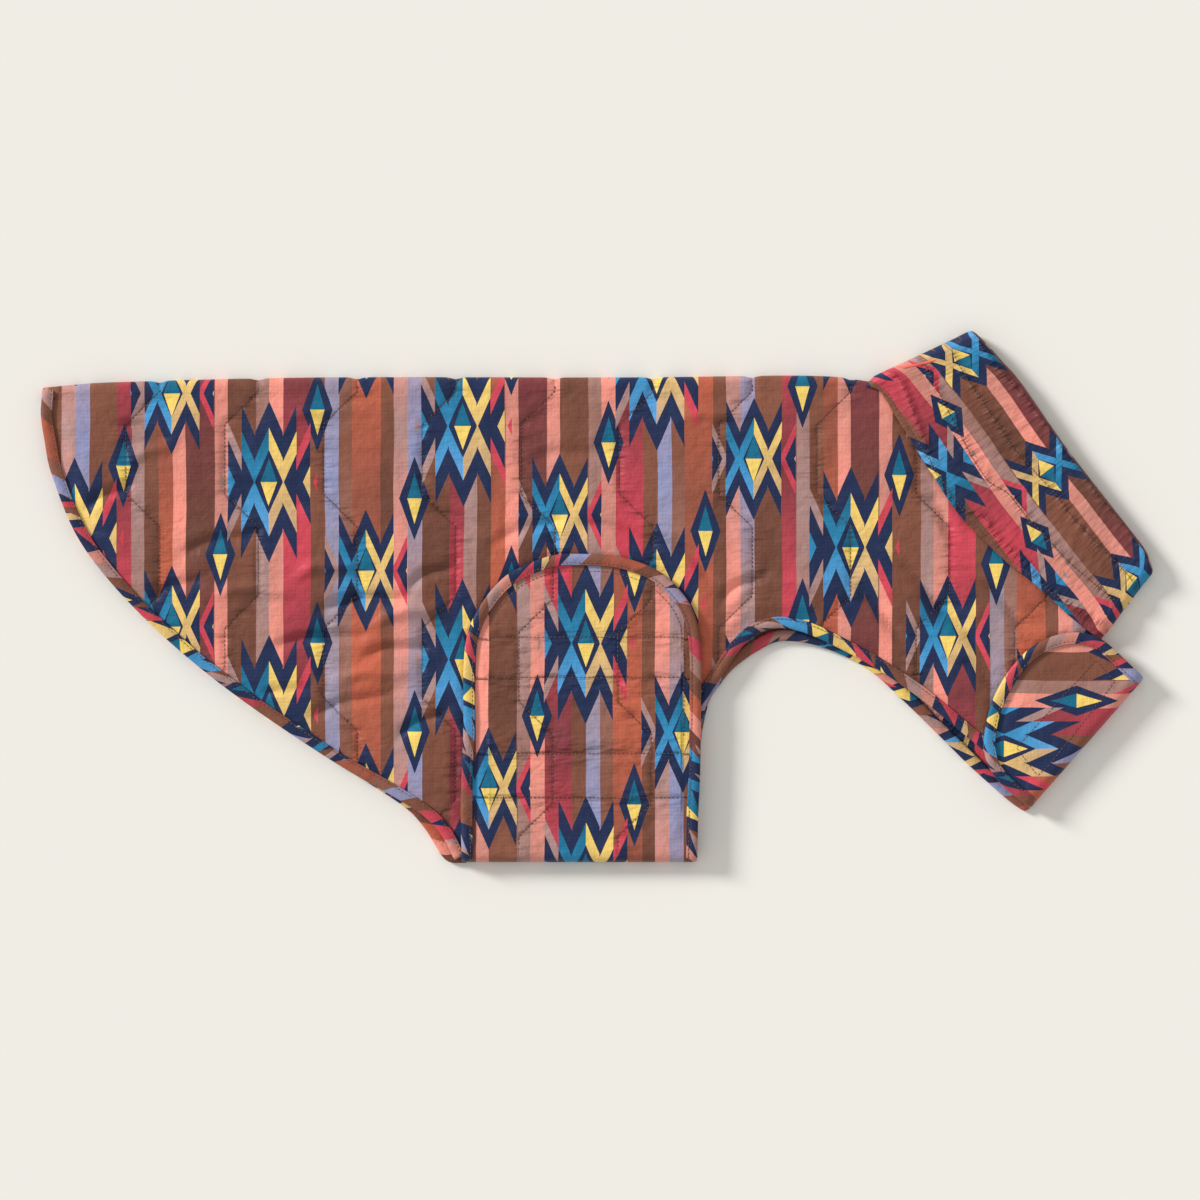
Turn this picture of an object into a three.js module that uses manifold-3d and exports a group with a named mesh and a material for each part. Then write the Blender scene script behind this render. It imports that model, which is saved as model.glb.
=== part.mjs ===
// Quilted dog winter coat, closed and laid flat on its side, folded along the spine.
// Millimetres, +Z up. The tail end is at -X, the collar at +X, the spine fold at +Y.
import * as THREE from "three";
import Module from "manifold-3d";
import { mergeVertices } from "three/addons/utils/BufferGeometryUtils.js";

const wasm = await Module();
wasm.setup();

// Heights of the layers, from the surface that the coat lies on.
const FAR_TOP = 3.0; // far side of the coat: flat underside at 0
const NEAR_LOW = 4.4; // plain inside face of the near side
const NEAR_TOP = 7.4; // crown of its quilted channels
const FLAP_LOW = 8.2; // inside face of the strap ends that lie on the near side
const FLAP_TOP = 11.2;
const QUILT_DEPTH = 1.6; // a sewn line lies this far below the crown
const SEAM = 0.3; // clearance at every seam

// Bias binding: a folded strip over every free edge.
const BIND_WIDTH = 6.3;
const BIND_HALF = 1.9; // half of its thickness
const BIND_WALL = 1.0;
const FAR_MID = BIND_HALF;
const NEAR_MID = 6.0;
const FLAP_MID = FLAP_LOW + BIND_HALF;
const EDGE_HALF = BIND_HALF - BIND_WALL - SEAM; // the cloth's edge inside the binding
const WRAP_STEPS = 5; // steps of an edge round a fold

// Quilting: parallel stepped lines along the coat.
const CHANNEL = 54.2; // from one sewn line to the next
const BODY_LINES = { first: -314.5, count: 12, shift: 0 }; // X of the line nearest the tail
const FLAP_LINES = { first: -152.9, count: 5, shift: 114 };
const STEP_WIDTH = 18.5; // sideways step of a sewn line
const STEP_PERIOD = 112; // length of one full step pattern
const STEP_START = 95.5; // Y where a straight run begins
const RUN = 38;
const SLANT = 18;
const PUFF = [
  { across: 0, rise: 0 },
  { across: 0.1, rise: 0.55 },
  { across: 0.28, rise: 0.94 },
  { across: 0.5, rise: 1 },
  { across: 0.72, rise: 0.94 },
  { across: 0.9, rise: 0.55 },
];

const xy = (rows) => rows.map(([x, y]) => new THREE.Vector2(x, y));

// Outlines in plan, columns X and Y.
const SPINE = xy([
  [-330, 113], [-306, 115], [-262, 119], [-152, 121.5], [13, 121.5], [101, 122.5],
  [134, 121.5], [146, 119.5], [154, 119.6], [168, 125.8], [184.5, 133.5], [230, 150],
]);
const NEAR_HEM = xy([
  [-306.5, 110], [-307, 101], [-305, 87], [-300.5, 66.5], [-284, 29], [-251, -10],
  [-207, -48], [-152, -86], [-108, -113], [-93.5, -122], [-85, -130], [-79, -137],
]);
const FAR_HEM = xy([
  [-306.5, 110], [-307, 101], [-305, 87], [-300.5, 66.5], [-284, 29], [-251, -10],
  [-207, -48], [-152, -86], [-130, -100], [-108, -115], [-97, -127], [-83, -139],
]);
const FLAP = xy([
  [-76, -137], [-76.5, -111], [-75, -69.5], [-75, -39.5], [-72.5, -18.5], [-64, -1],
  [-49, 14.5], [-27, 23.5], [-7.5, 24.5], [11, 23], [31.5, 15.5], [46, 2],
  [53, -12], [55.5, -30], [55.5, -55.5], [55, -95], [54, -117.5], [53.5, -137],
]);
const NEAR_ARMHOLE = xy([
  [51, -136], [52, -105.5], [54, -80.5], [59, -56.5], [67, -42.5], [80, -24.5],
  [93, -17], [107.5, -17.5], [127.5, -25.5], [154, -40], [179, -57.5], [204.5, -78.5],
  [218, -89], [231, -91], [245, -82], [264, -61], [279, -43], [280, -32], [272, -23],
]);
const FAR_ARMHOLE = xy([
  [54.4, -103.85], [54.6, -92], [56, -75], [60, -57], [67, -46], [74, -38], [86.5, -29],
  [100, -23.5], [121, -26.5], [146, -38], [167, -56.5], [188.5, -77.5],
  [201.5, -90.5], [213, -100], [224, -109],
]);
const TAB = xy([
  [231.5, -111.5], [221, -103], [214, -94], [211, -86], [210.5, -76], [214, -59],
  [221.5, -43.5], [233, -29.5], [247, -21], [262, -18.5], [276, -23], [294.4, -39.6],
]);
const COLLAR_FOLD = xy([
  [208, 140.5], [214.5, 136.5], [220, 131], [231, 118.5], [255, 84], [277, 55.5],
  [288, 41.5], [299, 27], [302, 20],
]);
const COLLAR_HEM = xy([
  [154, 115], [160, 104], [166.5, 93.5], [176.5, 78], [205.5, 38], [230.5, 15],
  [243.5, 4.5], [261, -9], [272.5, -15.5],
]);
const BELLY_FOLD_Y = -145; // outer edge of the belly band's fold
const BAND_TURN_Y = -138.7; // where the band's edges start to turn round the fold
const BELLY_SEAM_Y = -104; // seam of the belly band on the far side
const STRAP_FOLD = [new THREE.Vector2(299, -43.5), new THREE.Vector2(238.5, -112.5)];
const STRAP_SEAM = 26; // from the strap's fold to its seam on the far side
const NECK_SEAM = 0.68; // of the collar's fall, from its fold to its hem

// A smooth line through points, kept only where it turns or gets long.
function trace(points, longest = 24, sharpest = 0.15) {
  const line = new THREE.SplineCurve(points);
  const fine = line.getSpacedPoints(Math.ceil(line.getLength() / 2));
  const kept = [fine[0]];
  let turned = 0;
  for (let i = 1; i < fine.length - 1; i++) {
    const before = fine[i].clone().sub(fine[i - 1]);
    const after = fine[i + 1].clone().sub(fine[i]);
    turned += Math.abs(before.angleTo(after));
    const far = fine[i].distanceTo(kept[kept.length - 1]) > longest;
    if (far || turned > sharpest) {
      kept.push(fine[i]);
      turned = 0;
    }
  }
  kept.push(fine[fine.length - 1]);
  return kept;
}

// Solids: closed vertex and face lists become manifold solids, and solids become meshes.
function solidOf(vertices, faces) {
  let volume = 0;
  for (const [a, b, c] of faces) {
    volume += vertices[a].dot(vertices[b].clone().cross(vertices[c]));
  }
  const outward = volume > 0 ? faces : faces.map(([a, b, c]) => [a, c, b]);
  return new wasm.Manifold(
    new wasm.Mesh({
      numProp: 3,
      vertProperties: new Float32Array(vertices.flatMap((v) => [v.x, v.y, v.z])),
      triVerts: new Uint32Array(outward.flat()),
    }),
  );
}

function solidOfGeometry(geometry) {
  geometry.deleteAttribute("normal");
  geometry.deleteAttribute("uv");
  const merged = mergeVertices(geometry, 1e-4);
  return new wasm.Manifold(
    new wasm.Mesh({
      numProp: 3,
      vertProperties: new Float32Array(merged.attributes.position.array),
      triVerts: new Uint32Array(merged.index.array),
    }),
  );
}

// Rings of equal length joined into a tube, capped at both ends or closed on itself.
function loft(rings, capOutline) {
  const count = rings[0].length;
  const faces = [];
  const last = capOutline ? rings.length - 1 : rings.length;
  for (let i = 0; i < last; i++) {
    const here = i * count;
    const next = ((i + 1) % rings.length) * count;
    for (let j = 0; j < count; j++) {
      const k = (j + 1) % count;
      faces.push([here + j, here + k, next + k], [here + j, next + k, next + j]);
    }
  }
  if (capOutline) {
    const start = THREE.ShapeUtils.triangulateShape(capOutline[0], []);
    const end = THREE.ShapeUtils.triangulateShape(capOutline[1], []);
    const turned = THREE.ShapeUtils.isClockWise(capOutline[0]);
    const base = (rings.length - 1) * count;
    for (const [a, b, c] of start) faces.push(turned ? [a, b, c] : [a, c, b]);
    for (const [a, b, c] of end) {
      const cap = [a + base, b + base, c + base];
      faces.push(turned ? [cap[0], cap[2], cap[1]] : cap);
    }
  }
  return solidOf(rings.flat(), faces);
}

function prism(points, low, high) {
  const clean = THREE.ShapeUtils.isClockWise(points) ? [...points].reverse() : points;
  const geometry = new THREE.ExtrudeGeometry(new THREE.Shape(clean), {
    depth: high - low,
    bevelEnabled: false,
  });
  geometry.translate(0, 0, low);
  return solidOfGeometry(geometry);
}

// Sideways place of a sewn line at a given Y. A shift moves the pattern along Y.
function stepAt(y, shift) {
  const start = STEP_START - shift;
  const along = (((start - y) % STEP_PERIOD) + STEP_PERIOD) % STEP_PERIOD;
  if (along < RUN) return 0;
  if (along < RUN + SLANT) return (STEP_WIDTH * (along - RUN)) / SLANT;
  if (along < 2 * RUN + SLANT) return STEP_WIDTH;
  return STEP_WIDTH * (1 - (along - 2 * RUN - SLANT) / SLANT);
}

// Y of each place where the sewn lines bend, between two limits.
function bends(high, low, shift) {
  const rows = [high];
  const first = STEP_START - shift + 2 * STEP_PERIOD;
  for (let start = first; start > low; start -= STEP_PERIOD) {
    for (const offset of [0, RUN, RUN + SLANT, 2 * RUN + SLANT]) {
      const y = start - offset;
      if (y < high - 4 && y > low + 4) rows.push(y);
    }
  }
  rows.push(low);
  return rows;
}

// Cloth folded once. Columns run across the fold; each gives the place of a point that is
// a distance in from the fold, and the height of the outer near face there.
function folded({ columns, depths, place, topAt, low, farTop, farDepth }) {
  const outlines = [];
  const rings = columns.map((column, index) => {
    const ring = [];
    const outline = [];
    const add = (depth, z) => {
      const spot = place(column, depth);
      ring.push(new THREE.Vector3(spot.x, spot.y, z));
      outline.push(new THREE.Vector2(depth, z));
    };
    const deepest = depths[depths.length - 1];
    for (let i = depths.length - 1; i >= 0; i--) {
      add(depths[i], topAt(column, depths[i]));
    }
    const top = topAt(column, depths[0]);
    for (let i = 1; i < 6; i++) {
      const angle = (Math.PI * i) / 6;
      const away = (top / 2) * Math.sin(angle);
      add(depths[0] - away, top / 2 + (top / 2) * Math.cos(angle));
    }
    add(depths[0], 0);
    add(farDepth, 0);
    add(farDepth, farTop);
    add(depths[0], farTop);
    for (let i = 1; i < 4; i++) {
      const angle = Math.PI - (Math.PI * i) / 4;
      const radius = (low - farTop) / 2;
      add(depths[0] - radius * Math.sin(angle), (low + farTop) / 2 + radius * Math.cos(angle));
    }
    add(depths[0], low);
    add(deepest, low);
    if (index === 0 || index === columns.length - 1) outlines.push(outline);
    return ring;
  });
  return loft(rings, outlines);
}

// A free edge as a line of stations, each with its place, the cloth's outward normal
// and the direction into the cloth.
function edgeLine(spots, side) {
  return spots.map((spot, i) => {
    const before = spots[Math.max(i - 1, 0)].point;
    const after = spots[Math.min(i + 1, spots.length - 1)].point;
    const along = after.clone().sub(before).normalize();
    const inward = spot.normal.clone().cross(along).multiplyScalar(side).normalize();
    return { ...spot, inward };
  });
}

const flatSpots = (points, z, up) =>
  points.map((p) => ({
    point: new THREE.Vector3(p.x, p.y, z),
    normal: new THREE.Vector3(0, 0, up),
  }));

// Half a turn of an edge round a fold, from one layer to another. Outward is the
// direction in plan that the fold faces.
function wrapSpots(from, to, outward) {
  const spots = [];
  const rise = to.z - from.z;
  for (let i = 1; i < WRAP_STEPS; i++) {
    const angle = (Math.PI * i) / WRAP_STEPS;
    const part = (1 - Math.cos(angle)) / 2;
    const point = from.clone().lerp(to, part);
    point.addScaledVector(outward, (Math.abs(rise) / 2) * Math.sin(angle));
    const normal = outward.clone().multiplyScalar(Math.sin(angle));
    normal.z = -Math.sign(rise) * Math.cos(angle);
    spots.push({ point, normal: normal.normalize() });
  }
  return spots;
}

function sweep(line, section) {
  const rings = line.map(({ point, normal, inward }) =>
    section.map(([depth, height]) =>
      point.clone().addScaledVector(inward, depth).addScaledVector(normal, height),
    ),
  );
  const outline = section.map(([depth, height]) => new THREE.Vector2(depth, height));
  return loft(rings, [outline, outline]);
}

const BINDING_SECTION = [
  [BIND_WIDTH, BIND_HALF],
  [1.2, BIND_HALF],
  [0, 0.9],
  [0, -0.9],
  [1.2, -BIND_HALF],
  [BIND_WIDTH, -BIND_HALF],
  [BIND_WIDTH, BIND_WALL - BIND_HALF],
  [BIND_WALL, BIND_WALL - BIND_HALF],
  [BIND_WALL, BIND_HALF - BIND_WALL],
  [BIND_WIDTH, BIND_HALF - BIND_WALL],
];
const ROOM_SECTION = [
  [BIND_WIDTH + SEAM, BIND_HALF + SEAM],
  [-6, BIND_HALF + SEAM],
  [-6, -BIND_HALF - SEAM],
  [BIND_WIDTH + SEAM, -BIND_HALF - SEAM],
];
const EDGE_SECTION = [
  [BIND_WIDTH + SEAM + 0.6, EDGE_HALF],
  [BIND_WALL + SEAM, EDGE_HALF],
  [BIND_WALL + SEAM, -EDGE_HALF],
  [BIND_WIDTH + SEAM + 0.6, -EDGE_HALF],
];

const binding = (line) => sweep(line, BINDING_SECTION);
const room = (line) => sweep(line, ROOM_SECTION);
const thinEdge = (line) => sweep(line, EDGE_SECTION);
const reversed = (points) => [...points].reverse();

// The collar's two lines, cut into equal shares of their length.
const foldCurve = new THREE.SplineCurve(COLLAR_FOLD);
const hemCurve = new THREE.SplineCurve(COLLAR_HEM);
const collarSpot = (along, across) =>
  foldCurve.getPointAt(along).clone().lerp(hemCurve.getPointAt(along), across);
const neckLine = (across) =>
  Array.from({ length: 9 }, (_, i) => collarSpot(i / 8, across));

// Outlines of the pieces, traced once.
const nearHem = trace(NEAR_HEM);
const farHem = trace(FAR_HEM);
const flapEdge = trace(FLAP);
const nearArmhole = trace(NEAR_ARMHOLE);
const farArmhole = trace(FAR_ARMHOLE);
const tabEdge = trace(TAB);

const spineCurve = new THREE.SplineCurve(SPINE);
const spinePoints = spineCurve.getSpacedPoints(120);
function spineY(x) {
  const i = Math.min(Math.max(spinePoints.findIndex((p) => p.x > x), 1), 120);
  const a = spinePoints[i - 1];
  const b = spinePoints[i];
  return a.y + ((b.y - a.y) * (x - a.x)) / (b.x - a.x);
}

// Edge lines of the bindings.
const NORTH = new THREE.Vector3(0, 1, 0);
const SOUTH = new THREE.Vector3(0, -1, 0);
const strapAlong = STRAP_FOLD[1].clone().sub(STRAP_FOLD[0]).normalize();
const strapInward = new THREE.Vector2(strapAlong.y, -strapAlong.x);
const STRAP_OUT = new THREE.Vector3(-strapInward.x, -strapInward.y, 0);

function hemLine() {
  const near = flatSpots(reversed(nearHem), NEAR_MID, 1);
  const far = flatSpots(farHem, FAR_MID, -1);
  const turn = wrapSpots(near[near.length - 1].point, far[0].point, NORTH);
  return edgeLine([...near, ...turn, ...far], -1);
}

function bandLine() {
  const flap = flatSpots(flapEdge, FLAP_MID, 1);
  flap[0].point.y = BAND_TURN_Y;
  flap[flap.length - 1].point.y = BAND_TURN_Y;
  const leftStart = flap[0].point.clone().setZ(FAR_MID);
  const rightEnd = flap[flap.length - 1].point.clone().setZ(FAR_MID);
  const down = flatSpots(xy([[53.7, -125], [54.4, -104.15]]), FAR_MID, -1);
  const left = { point: leftStart, normal: new THREE.Vector3(0, 0, -1) };
  const right = { point: rightEnd, normal: new THREE.Vector3(0, 0, -1) };
  const first = wrapSpots(leftStart, flap[0].point, SOUTH);
  const second = wrapSpots(flap[flap.length - 1].point, rightEnd, SOUTH);
  return edgeLine([left, ...first, ...flap, ...second, right, ...down], -1);
}

function strapLine() {
  const tab = flatSpots(tabEdge, FLAP_MID, 1);
  const lowFar = tab[0].point.clone().setZ(FAR_MID);
  const highFar = tab[tab.length - 1].point.clone().setZ(FAR_MID);
  const first = wrapSpots(lowFar, tab[0].point, STRAP_OUT);
  const second = wrapSpots(tab[tab.length - 1].point, highFar, STRAP_OUT);
  const back = flatSpots(xy([[283, -29]]), FAR_MID, -1);
  const low = { point: lowFar, normal: new THREE.Vector3(0, 0, -1) };
  const high = { point: highFar, normal: new THREE.Vector3(0, 0, -1) };
  return edgeLine([low, ...first, ...tab, ...second, high, ...back], -1);
}

const hem = hemLine();
const hemFar = hem.slice(-farHem.length);
const band = bandLine();
const strap = strapLine();
const armholeNear = edgeLine(flatSpots(nearArmhole, NEAR_MID, 1), 1);
const armholeFar = edgeLine(flatSpots(farArmhole, FAR_MID, -1), -1);

function quiltColumns({ first, count }) {
  const columns = [];
  for (let i = 0; i < count; i++) {
    for (const { across, rise } of PUFF) {
      columns.push({ x: first + (i + across) * CHANNEL, rise });
    }
  }
  return columns;
}

// A closed ring of the collar's cloth, flattened. A layer is a distance from the ring's
// middle, with one value on the near side and one on the far side.
const RING_MIDDLE = 3.7;
const LAYERS = {
  standIn: { near: 0.7, far: 0.7 },
  standOut: { near: 3.2, far: 2.0 },
  fallIn: { near: 4.1, far: 2.3 },
  fallOut: { near: 7.1, far: RING_MIDDLE },
};
const NEAR_STATIONS = 11;
const FAR_STATIONS = 7;
const TURN_STEPS = 5;

function ringStations() {
  const stations = [];
  for (let i = 0; i <= NEAR_STATIONS; i++) {
    stations.push({ along: i / NEAR_STATIONS, turn: 0 });
  }
  for (let i = 1; i < TURN_STEPS; i++) {
    stations.push({ along: 1, turn: (Math.PI * i) / TURN_STEPS });
  }
  for (let i = 0; i <= FAR_STATIONS; i++) {
    stations.push({ along: 1 - i / FAR_STATIONS, turn: Math.PI });
  }
  for (let i = 1; i < TURN_STEPS; i++) {
    stations.push({ along: 0, turn: Math.PI + (Math.PI * i) / TURN_STEPS });
  }
  return stations;
}

const depthOf = (layer, turn) => {
  const share = (1 - Math.cos(turn)) / 2;
  return layer.near * (1 - share) + layer.far * share;
};

// A ring from a section: a function of a station that gives rows of how far across the
// collar, from its fold to its hem, and how far out from the ring's middle.
function collarRing(section) {
  const rings = ringStations().map((station) => {
    const { along, turn } = station;
    const fold = foldCurve.getTangentAt(along);
    const hemward = hemCurve.getTangentAt(along);
    const width = collarSpot(along, 0).distanceTo(collarSpot(along, 1));
    return section(station, width).map(([across, out]) => {
      const spot = collarSpot(along, across);
      const lengthwise = fold.clone().lerp(hemward, Math.min(Math.max(across, 0), 1));
      spot.addScaledVector(lengthwise.normalize(), out * Math.sin(turn));
      return new THREE.Vector3(spot.x, spot.y, RING_MIDDLE + out * Math.cos(turn));
    });
  });
  return loft(rings);
}

// Places of the collar's two sewn lines and of its topstitching, across the fall.
const FALL_ROWS = [
  { across: 0.2, rise: 1, stepped: 0.5 },
  { across: 0.31, rise: 0.9, stepped: 1 },
  { across: 0.36, rise: 0.45, stepped: 1 },
  { across: 0.41, rise: 0.9, stepped: 1 },
  { across: 0.52, rise: 1, stepped: 1 },
  { across: 0.65, rise: 0.9, stepped: 1 },
  { across: 0.7, rise: 0.45, stepped: 1 },
  { across: 0.75, rise: 0.9, stepped: 1 },
  { across: 0.88, rise: 0.95, stepped: 0.4 },
  { across: 0.95, rise: 0.6, stepped: 0 },
  { across: 1, rise: 0.5, stepped: 0 },
];
const COLLAR_RELIEF = 2.2;
const COLLAR_STEP = 0.07;

function collar() {
  const section = ({ along, turn }, width) => {
    const at = (layer) => depthOf(layer, turn);
    const inner = at(LAYERS.standIn);
    const outer = at(LAYERS.fallOut);
    const bend = (outer - inner) / 2;
    const gap = (at(LAYERS.fallIn) - at(LAYERS.standOut)) / 2;
    const gapMiddle = (at(LAYERS.fallIn) + at(LAYERS.standOut)) / 2;
    const foldAt = bend / width;
    const facing = Math.max(Math.cos(turn), 0);
    const rows = [[NECK_SEAM, inner], [foldAt, inner]];
    for (let i = 1; i < 5; i++) {
      const angle = (Math.PI * i) / 5;
      const across = foldAt - (bend * Math.sin(angle)) / width;
      rows.push([across, (inner + outer) / 2 - bend * Math.cos(angle)]);
    }
    rows.push([foldAt, outer]);
    const step = COLLAR_STEP * Math.sin(along * Math.PI * 4);
    for (const { across, rise, stepped } of FALL_ROWS) {
      const drop = COLLAR_RELIEF * (1 - rise) * facing;
      rows.push([across + step * stepped, outer - drop]);
    }
    rows.push([1, at(LAYERS.fallIn)], [foldAt, at(LAYERS.fallIn)]);
    rows.push([foldAt - gap / width, gapMiddle]);
    rows.push([foldAt, at(LAYERS.standOut)], [NECK_SEAM, at(LAYERS.standOut)]);
    return rows;
  };
  return collarRing(section);
}

// The room that the collar's fall needs round the coat's neck.
function fallRoom() {
  return collarRing(({ turn }) => {
    const inner = depthOf(LAYERS.fallIn, turn) - SEAM;
    return [[-0.1, inner], [-0.1, inner + 9], [1.008, inner + 9], [1.008, inner]];
  });
}

// Body panel: near side, spine fold and far side in one.
const NEAR_FAR = (FAR_TOP + NEAR_LOW) / 2; // height between the two sides
const STRAP_PARTING = (FAR_TOP + FLAP_LOW) / 2;
const SPINE_TOP = 121;
const BODY_LOW = -140;
const SPINE_BLEND = 60; // the spine's curve fades out this far below it

const strapPoint = (along, inward) =>
  STRAP_FOLD[0].clone().addScaledVector(strapAlong, along).addScaledVector(strapInward, inward);
const STRAP_LENGTH = STRAP_FOLD[0].distanceTo(STRAP_FOLD[1]);
const seamIndex = farHem.findIndex((p) => p.y < BELLY_SEAM_Y);
const seamX = farHem[seamIndex].x;

function bodyRegion() {
  const seam = neckLine(NECK_SEAM + SEAM / 50);
  const beyondNape = seam[0].clone().add(seam[0].clone().sub(seam[1]).setLength(30));
  const crown = [new THREE.Vector2(-306.5, 140), beyondNape];
  const neck = [...seam, collarSpot(0.985, 0.95)];
  const near = [...reversed(nearHem), ...crown, ...neck, ...reversed(nearArmhole)];
  const far = [
    new THREE.Vector2(seamX - 4, BELLY_SEAM_Y + SEAM),
    ...reversed(farHem.slice(0, seamIndex)),
    ...crown,
    ...neck,
    new THREE.Vector2(277, -24),
    strapPoint(0, STRAP_SEAM + SEAM),
    strapPoint(STRAP_LENGTH + 14, STRAP_SEAM + SEAM),
    ...reversed(farArmhole.filter((p) => p.x < 210)),
    new THREE.Vector2(farArmhole[0].x, BELLY_SEAM_Y + SEAM),
  ];
  return prism(near, NEAR_FAR - SEAM, 20).add(prism(far, -5, NEAR_FAR + SEAM));
}

function bodyPanel() {
  const rows = bends(SPINE_TOP, BODY_LOW, BODY_LINES.shift);
  const sheet = folded({
    columns: quiltColumns(BODY_LINES),
    depths: [NEAR_TOP / 2, ...rows.slice(1).map((y) => SPINE_TOP - y)],
    place: ({ x }, depth) => {
      const y = SPINE_TOP - depth;
      const stepped = x + stepAt(y, BODY_LINES.shift);
      const share = Math.max(0, 1 - depth / SPINE_BLEND);
      return new THREE.Vector2(stepped, y + (spineY(stepped) - SPINE_TOP) * share);
    },
    topAt: ({ rise }) => NEAR_TOP - QUILT_DEPTH * (1 - rise),
    low: NEAR_LOW,
    farTop: FAR_TOP,
    farDepth: SPINE_TOP - BODY_LOW,
  });
  const lines = [hem, armholeNear, armholeFar];
  return largest(withEdges(sheet, bodyRegion(), lines, lines).subtract(fallRoom()));
}

// A sheet cut to its region, with room for its bindings and thin edges inside them.
function withEdges(sheet, region, crossing, own) {
  const cut = crossing.reduce((cloth, line) => cloth.subtract(room(line)), sheet);
  const whole = own.reduce((cloth, line) => cloth.add(thinEdge(line)), cut);
  return largest(whole.intersect(region));
}

// The cloth itself, without the crumbs that its cuts leave.
function largest(solid) {
  const parts = solid.decompose();
  return parts.reduce((best, part) => (part.volume() > best.volume() ? part : best));
}

// Belly band: from its seam on the far side, round the fold, to its round near end.
function bellyBand() {
  const below = BELLY_FOLD_Y - 10;
  const sheet = folded({
    columns: quiltColumns(FLAP_LINES),
    depths: [
      FLAP_TOP / 2,
      ...reversed(bends(30, BELLY_FOLD_Y + 8, FLAP_LINES.shift)).map((y) => y - BELLY_FOLD_Y),
    ],
    place: ({ x }, depth) => {
      const y = BELLY_FOLD_Y + depth;
      return new THREE.Vector2(x + stepAt(y, FLAP_LINES.shift), y);
    },
    topAt: ({ rise }) => FLAP_TOP - QUILT_DEPTH * (1 - rise),
    low: FLAP_LOW,
    farTop: FAR_TOP,
    farDepth: 60,
  });
  const left = flapEdge[0].x;
  const right = flapEdge[flapEdge.length - 1].x;
  const near = [new THREE.Vector2(left, below), ...flapEdge, new THREE.Vector2(right, below)];
  const far = [
    new THREE.Vector2(seamX, BELLY_SEAM_Y),
    ...farHem.slice(seamIndex),
    new THREE.Vector2(left, BAND_TURN_Y - SEAM),
    new THREE.Vector2(left, below),
    new THREE.Vector2(right, below),
    new THREE.Vector2(farArmhole[0].x, BELLY_SEAM_Y),
  ];
  const region = prism(near, STRAP_PARTING - SEAM, 30).add(prism(far, -5, STRAP_PARTING));
  return withEdges(sheet, region, [band, hem], [band, hemFar]);
}

// Chest strap: from its seam on the far side, round the front, to its round near end.
function chestStrap() {
  const columns = Array.from({ length: 9 }, (_, i) => ({ x: -12 + i * 15 }));
  const sheet = folded({
    columns,
    depths: [FLAP_TOP / 2, 22, 44, 90],
    place: ({ x }, depth) => strapPoint(x, depth),
    topAt: () => FLAP_TOP,
    low: FLAP_LOW,
    farTop: FAR_TOP,
    farDepth: STRAP_SEAM + 20,
  });
  const start = tabEdge[0];
  const end = tabEdge[tabEdge.length - 1];
  const beyond = (point) => point.clone().addScaledVector(strapInward, -12);
  const near = [beyond(start), ...tabEdge, beyond(end)];
  const far = [
    strapPoint(STRAP_LENGTH + 14, STRAP_SEAM),
    ...farArmhole.filter((p) => p.x > 210),
    start,
    beyond(start),
    beyond(end),
    end,
    new THREE.Vector2(283, -29),
    strapPoint(0, STRAP_SEAM),
  ];
  const region = prism(near, STRAP_PARTING - SEAM, 30).add(prism(far, -5, STRAP_PARTING));
  return withEdges(sheet, region, [strap, armholeFar], [strap, armholeFar]);
}

function meshOf(name, solid, { colour, roughness }) {
  const data = solid.getMesh();
  const geometry = new THREE.BufferGeometry();
  const count = data.numProp;
  const positions = new Float32Array((data.vertProperties.length / count) * 3);
  for (let i = 0; i < positions.length / 3; i++) {
    positions.set(data.vertProperties.subarray(i * count, i * count + 3), i * 3);
  }
  geometry.setAttribute("position", new THREE.BufferAttribute(positions, 3));
  geometry.setIndex(new THREE.BufferAttribute(new Uint32Array(data.triVerts), 1));
  geometry.computeVertexNormals();
  const material = new THREE.MeshStandardMaterial({ color: colour, roughness, metalness: 0 });
  const mesh = new THREE.Mesh(geometry, material);
  mesh.name = name;
  return mesh;
}

// Pieces with their colours.
const group = new THREE.Group();
const CLOTH = { colour: "#b9705c", roughness: 0.62 };
const COLLAR_CLOTH = { colour: "#a9746a", roughness: 0.62 };
const STRAP_CLOTH = { colour: "#a95a4c", roughness: 0.62 };
const TAPE = { colour: "#39496f", roughness: 0.58 };
const pieces = [
  ["body_panel", bodyPanel(), CLOTH],
  ["belly_band", bellyBand(), STRAP_CLOTH],
  ["chest_strap", chestStrap(), STRAP_CLOTH],
  ["collar", collar(), COLLAR_CLOTH],
  ["binding_hem", binding(hem), TAPE],
  ["binding_armhole_near", binding(armholeNear), TAPE],
  ["binding_armhole_far", binding(armholeFar), TAPE],
  ["binding_belly_band", binding(band), TAPE],
  ["binding_chest_strap", binding(strap), TAPE],
];
for (const [name, solid, finish] of pieces) group.add(meshOf(name, solid, finish));

// The origin is the middle of the coat's footprint, on the surface it lies on.
const reach = new THREE.Box3().setFromObject(group);
const centre = reach.getCenter(new THREE.Vector3());
for (const mesh of group.children) {
  mesh.geometry.translate(-centre.x, -centre.y, -reach.min.z);
}

export default group;
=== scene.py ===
import math

import bmesh
import bpy
import numpy as np
from mathutils import Matrix, Vector, noise
from mathutils.bvhtree import BVHTree


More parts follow.
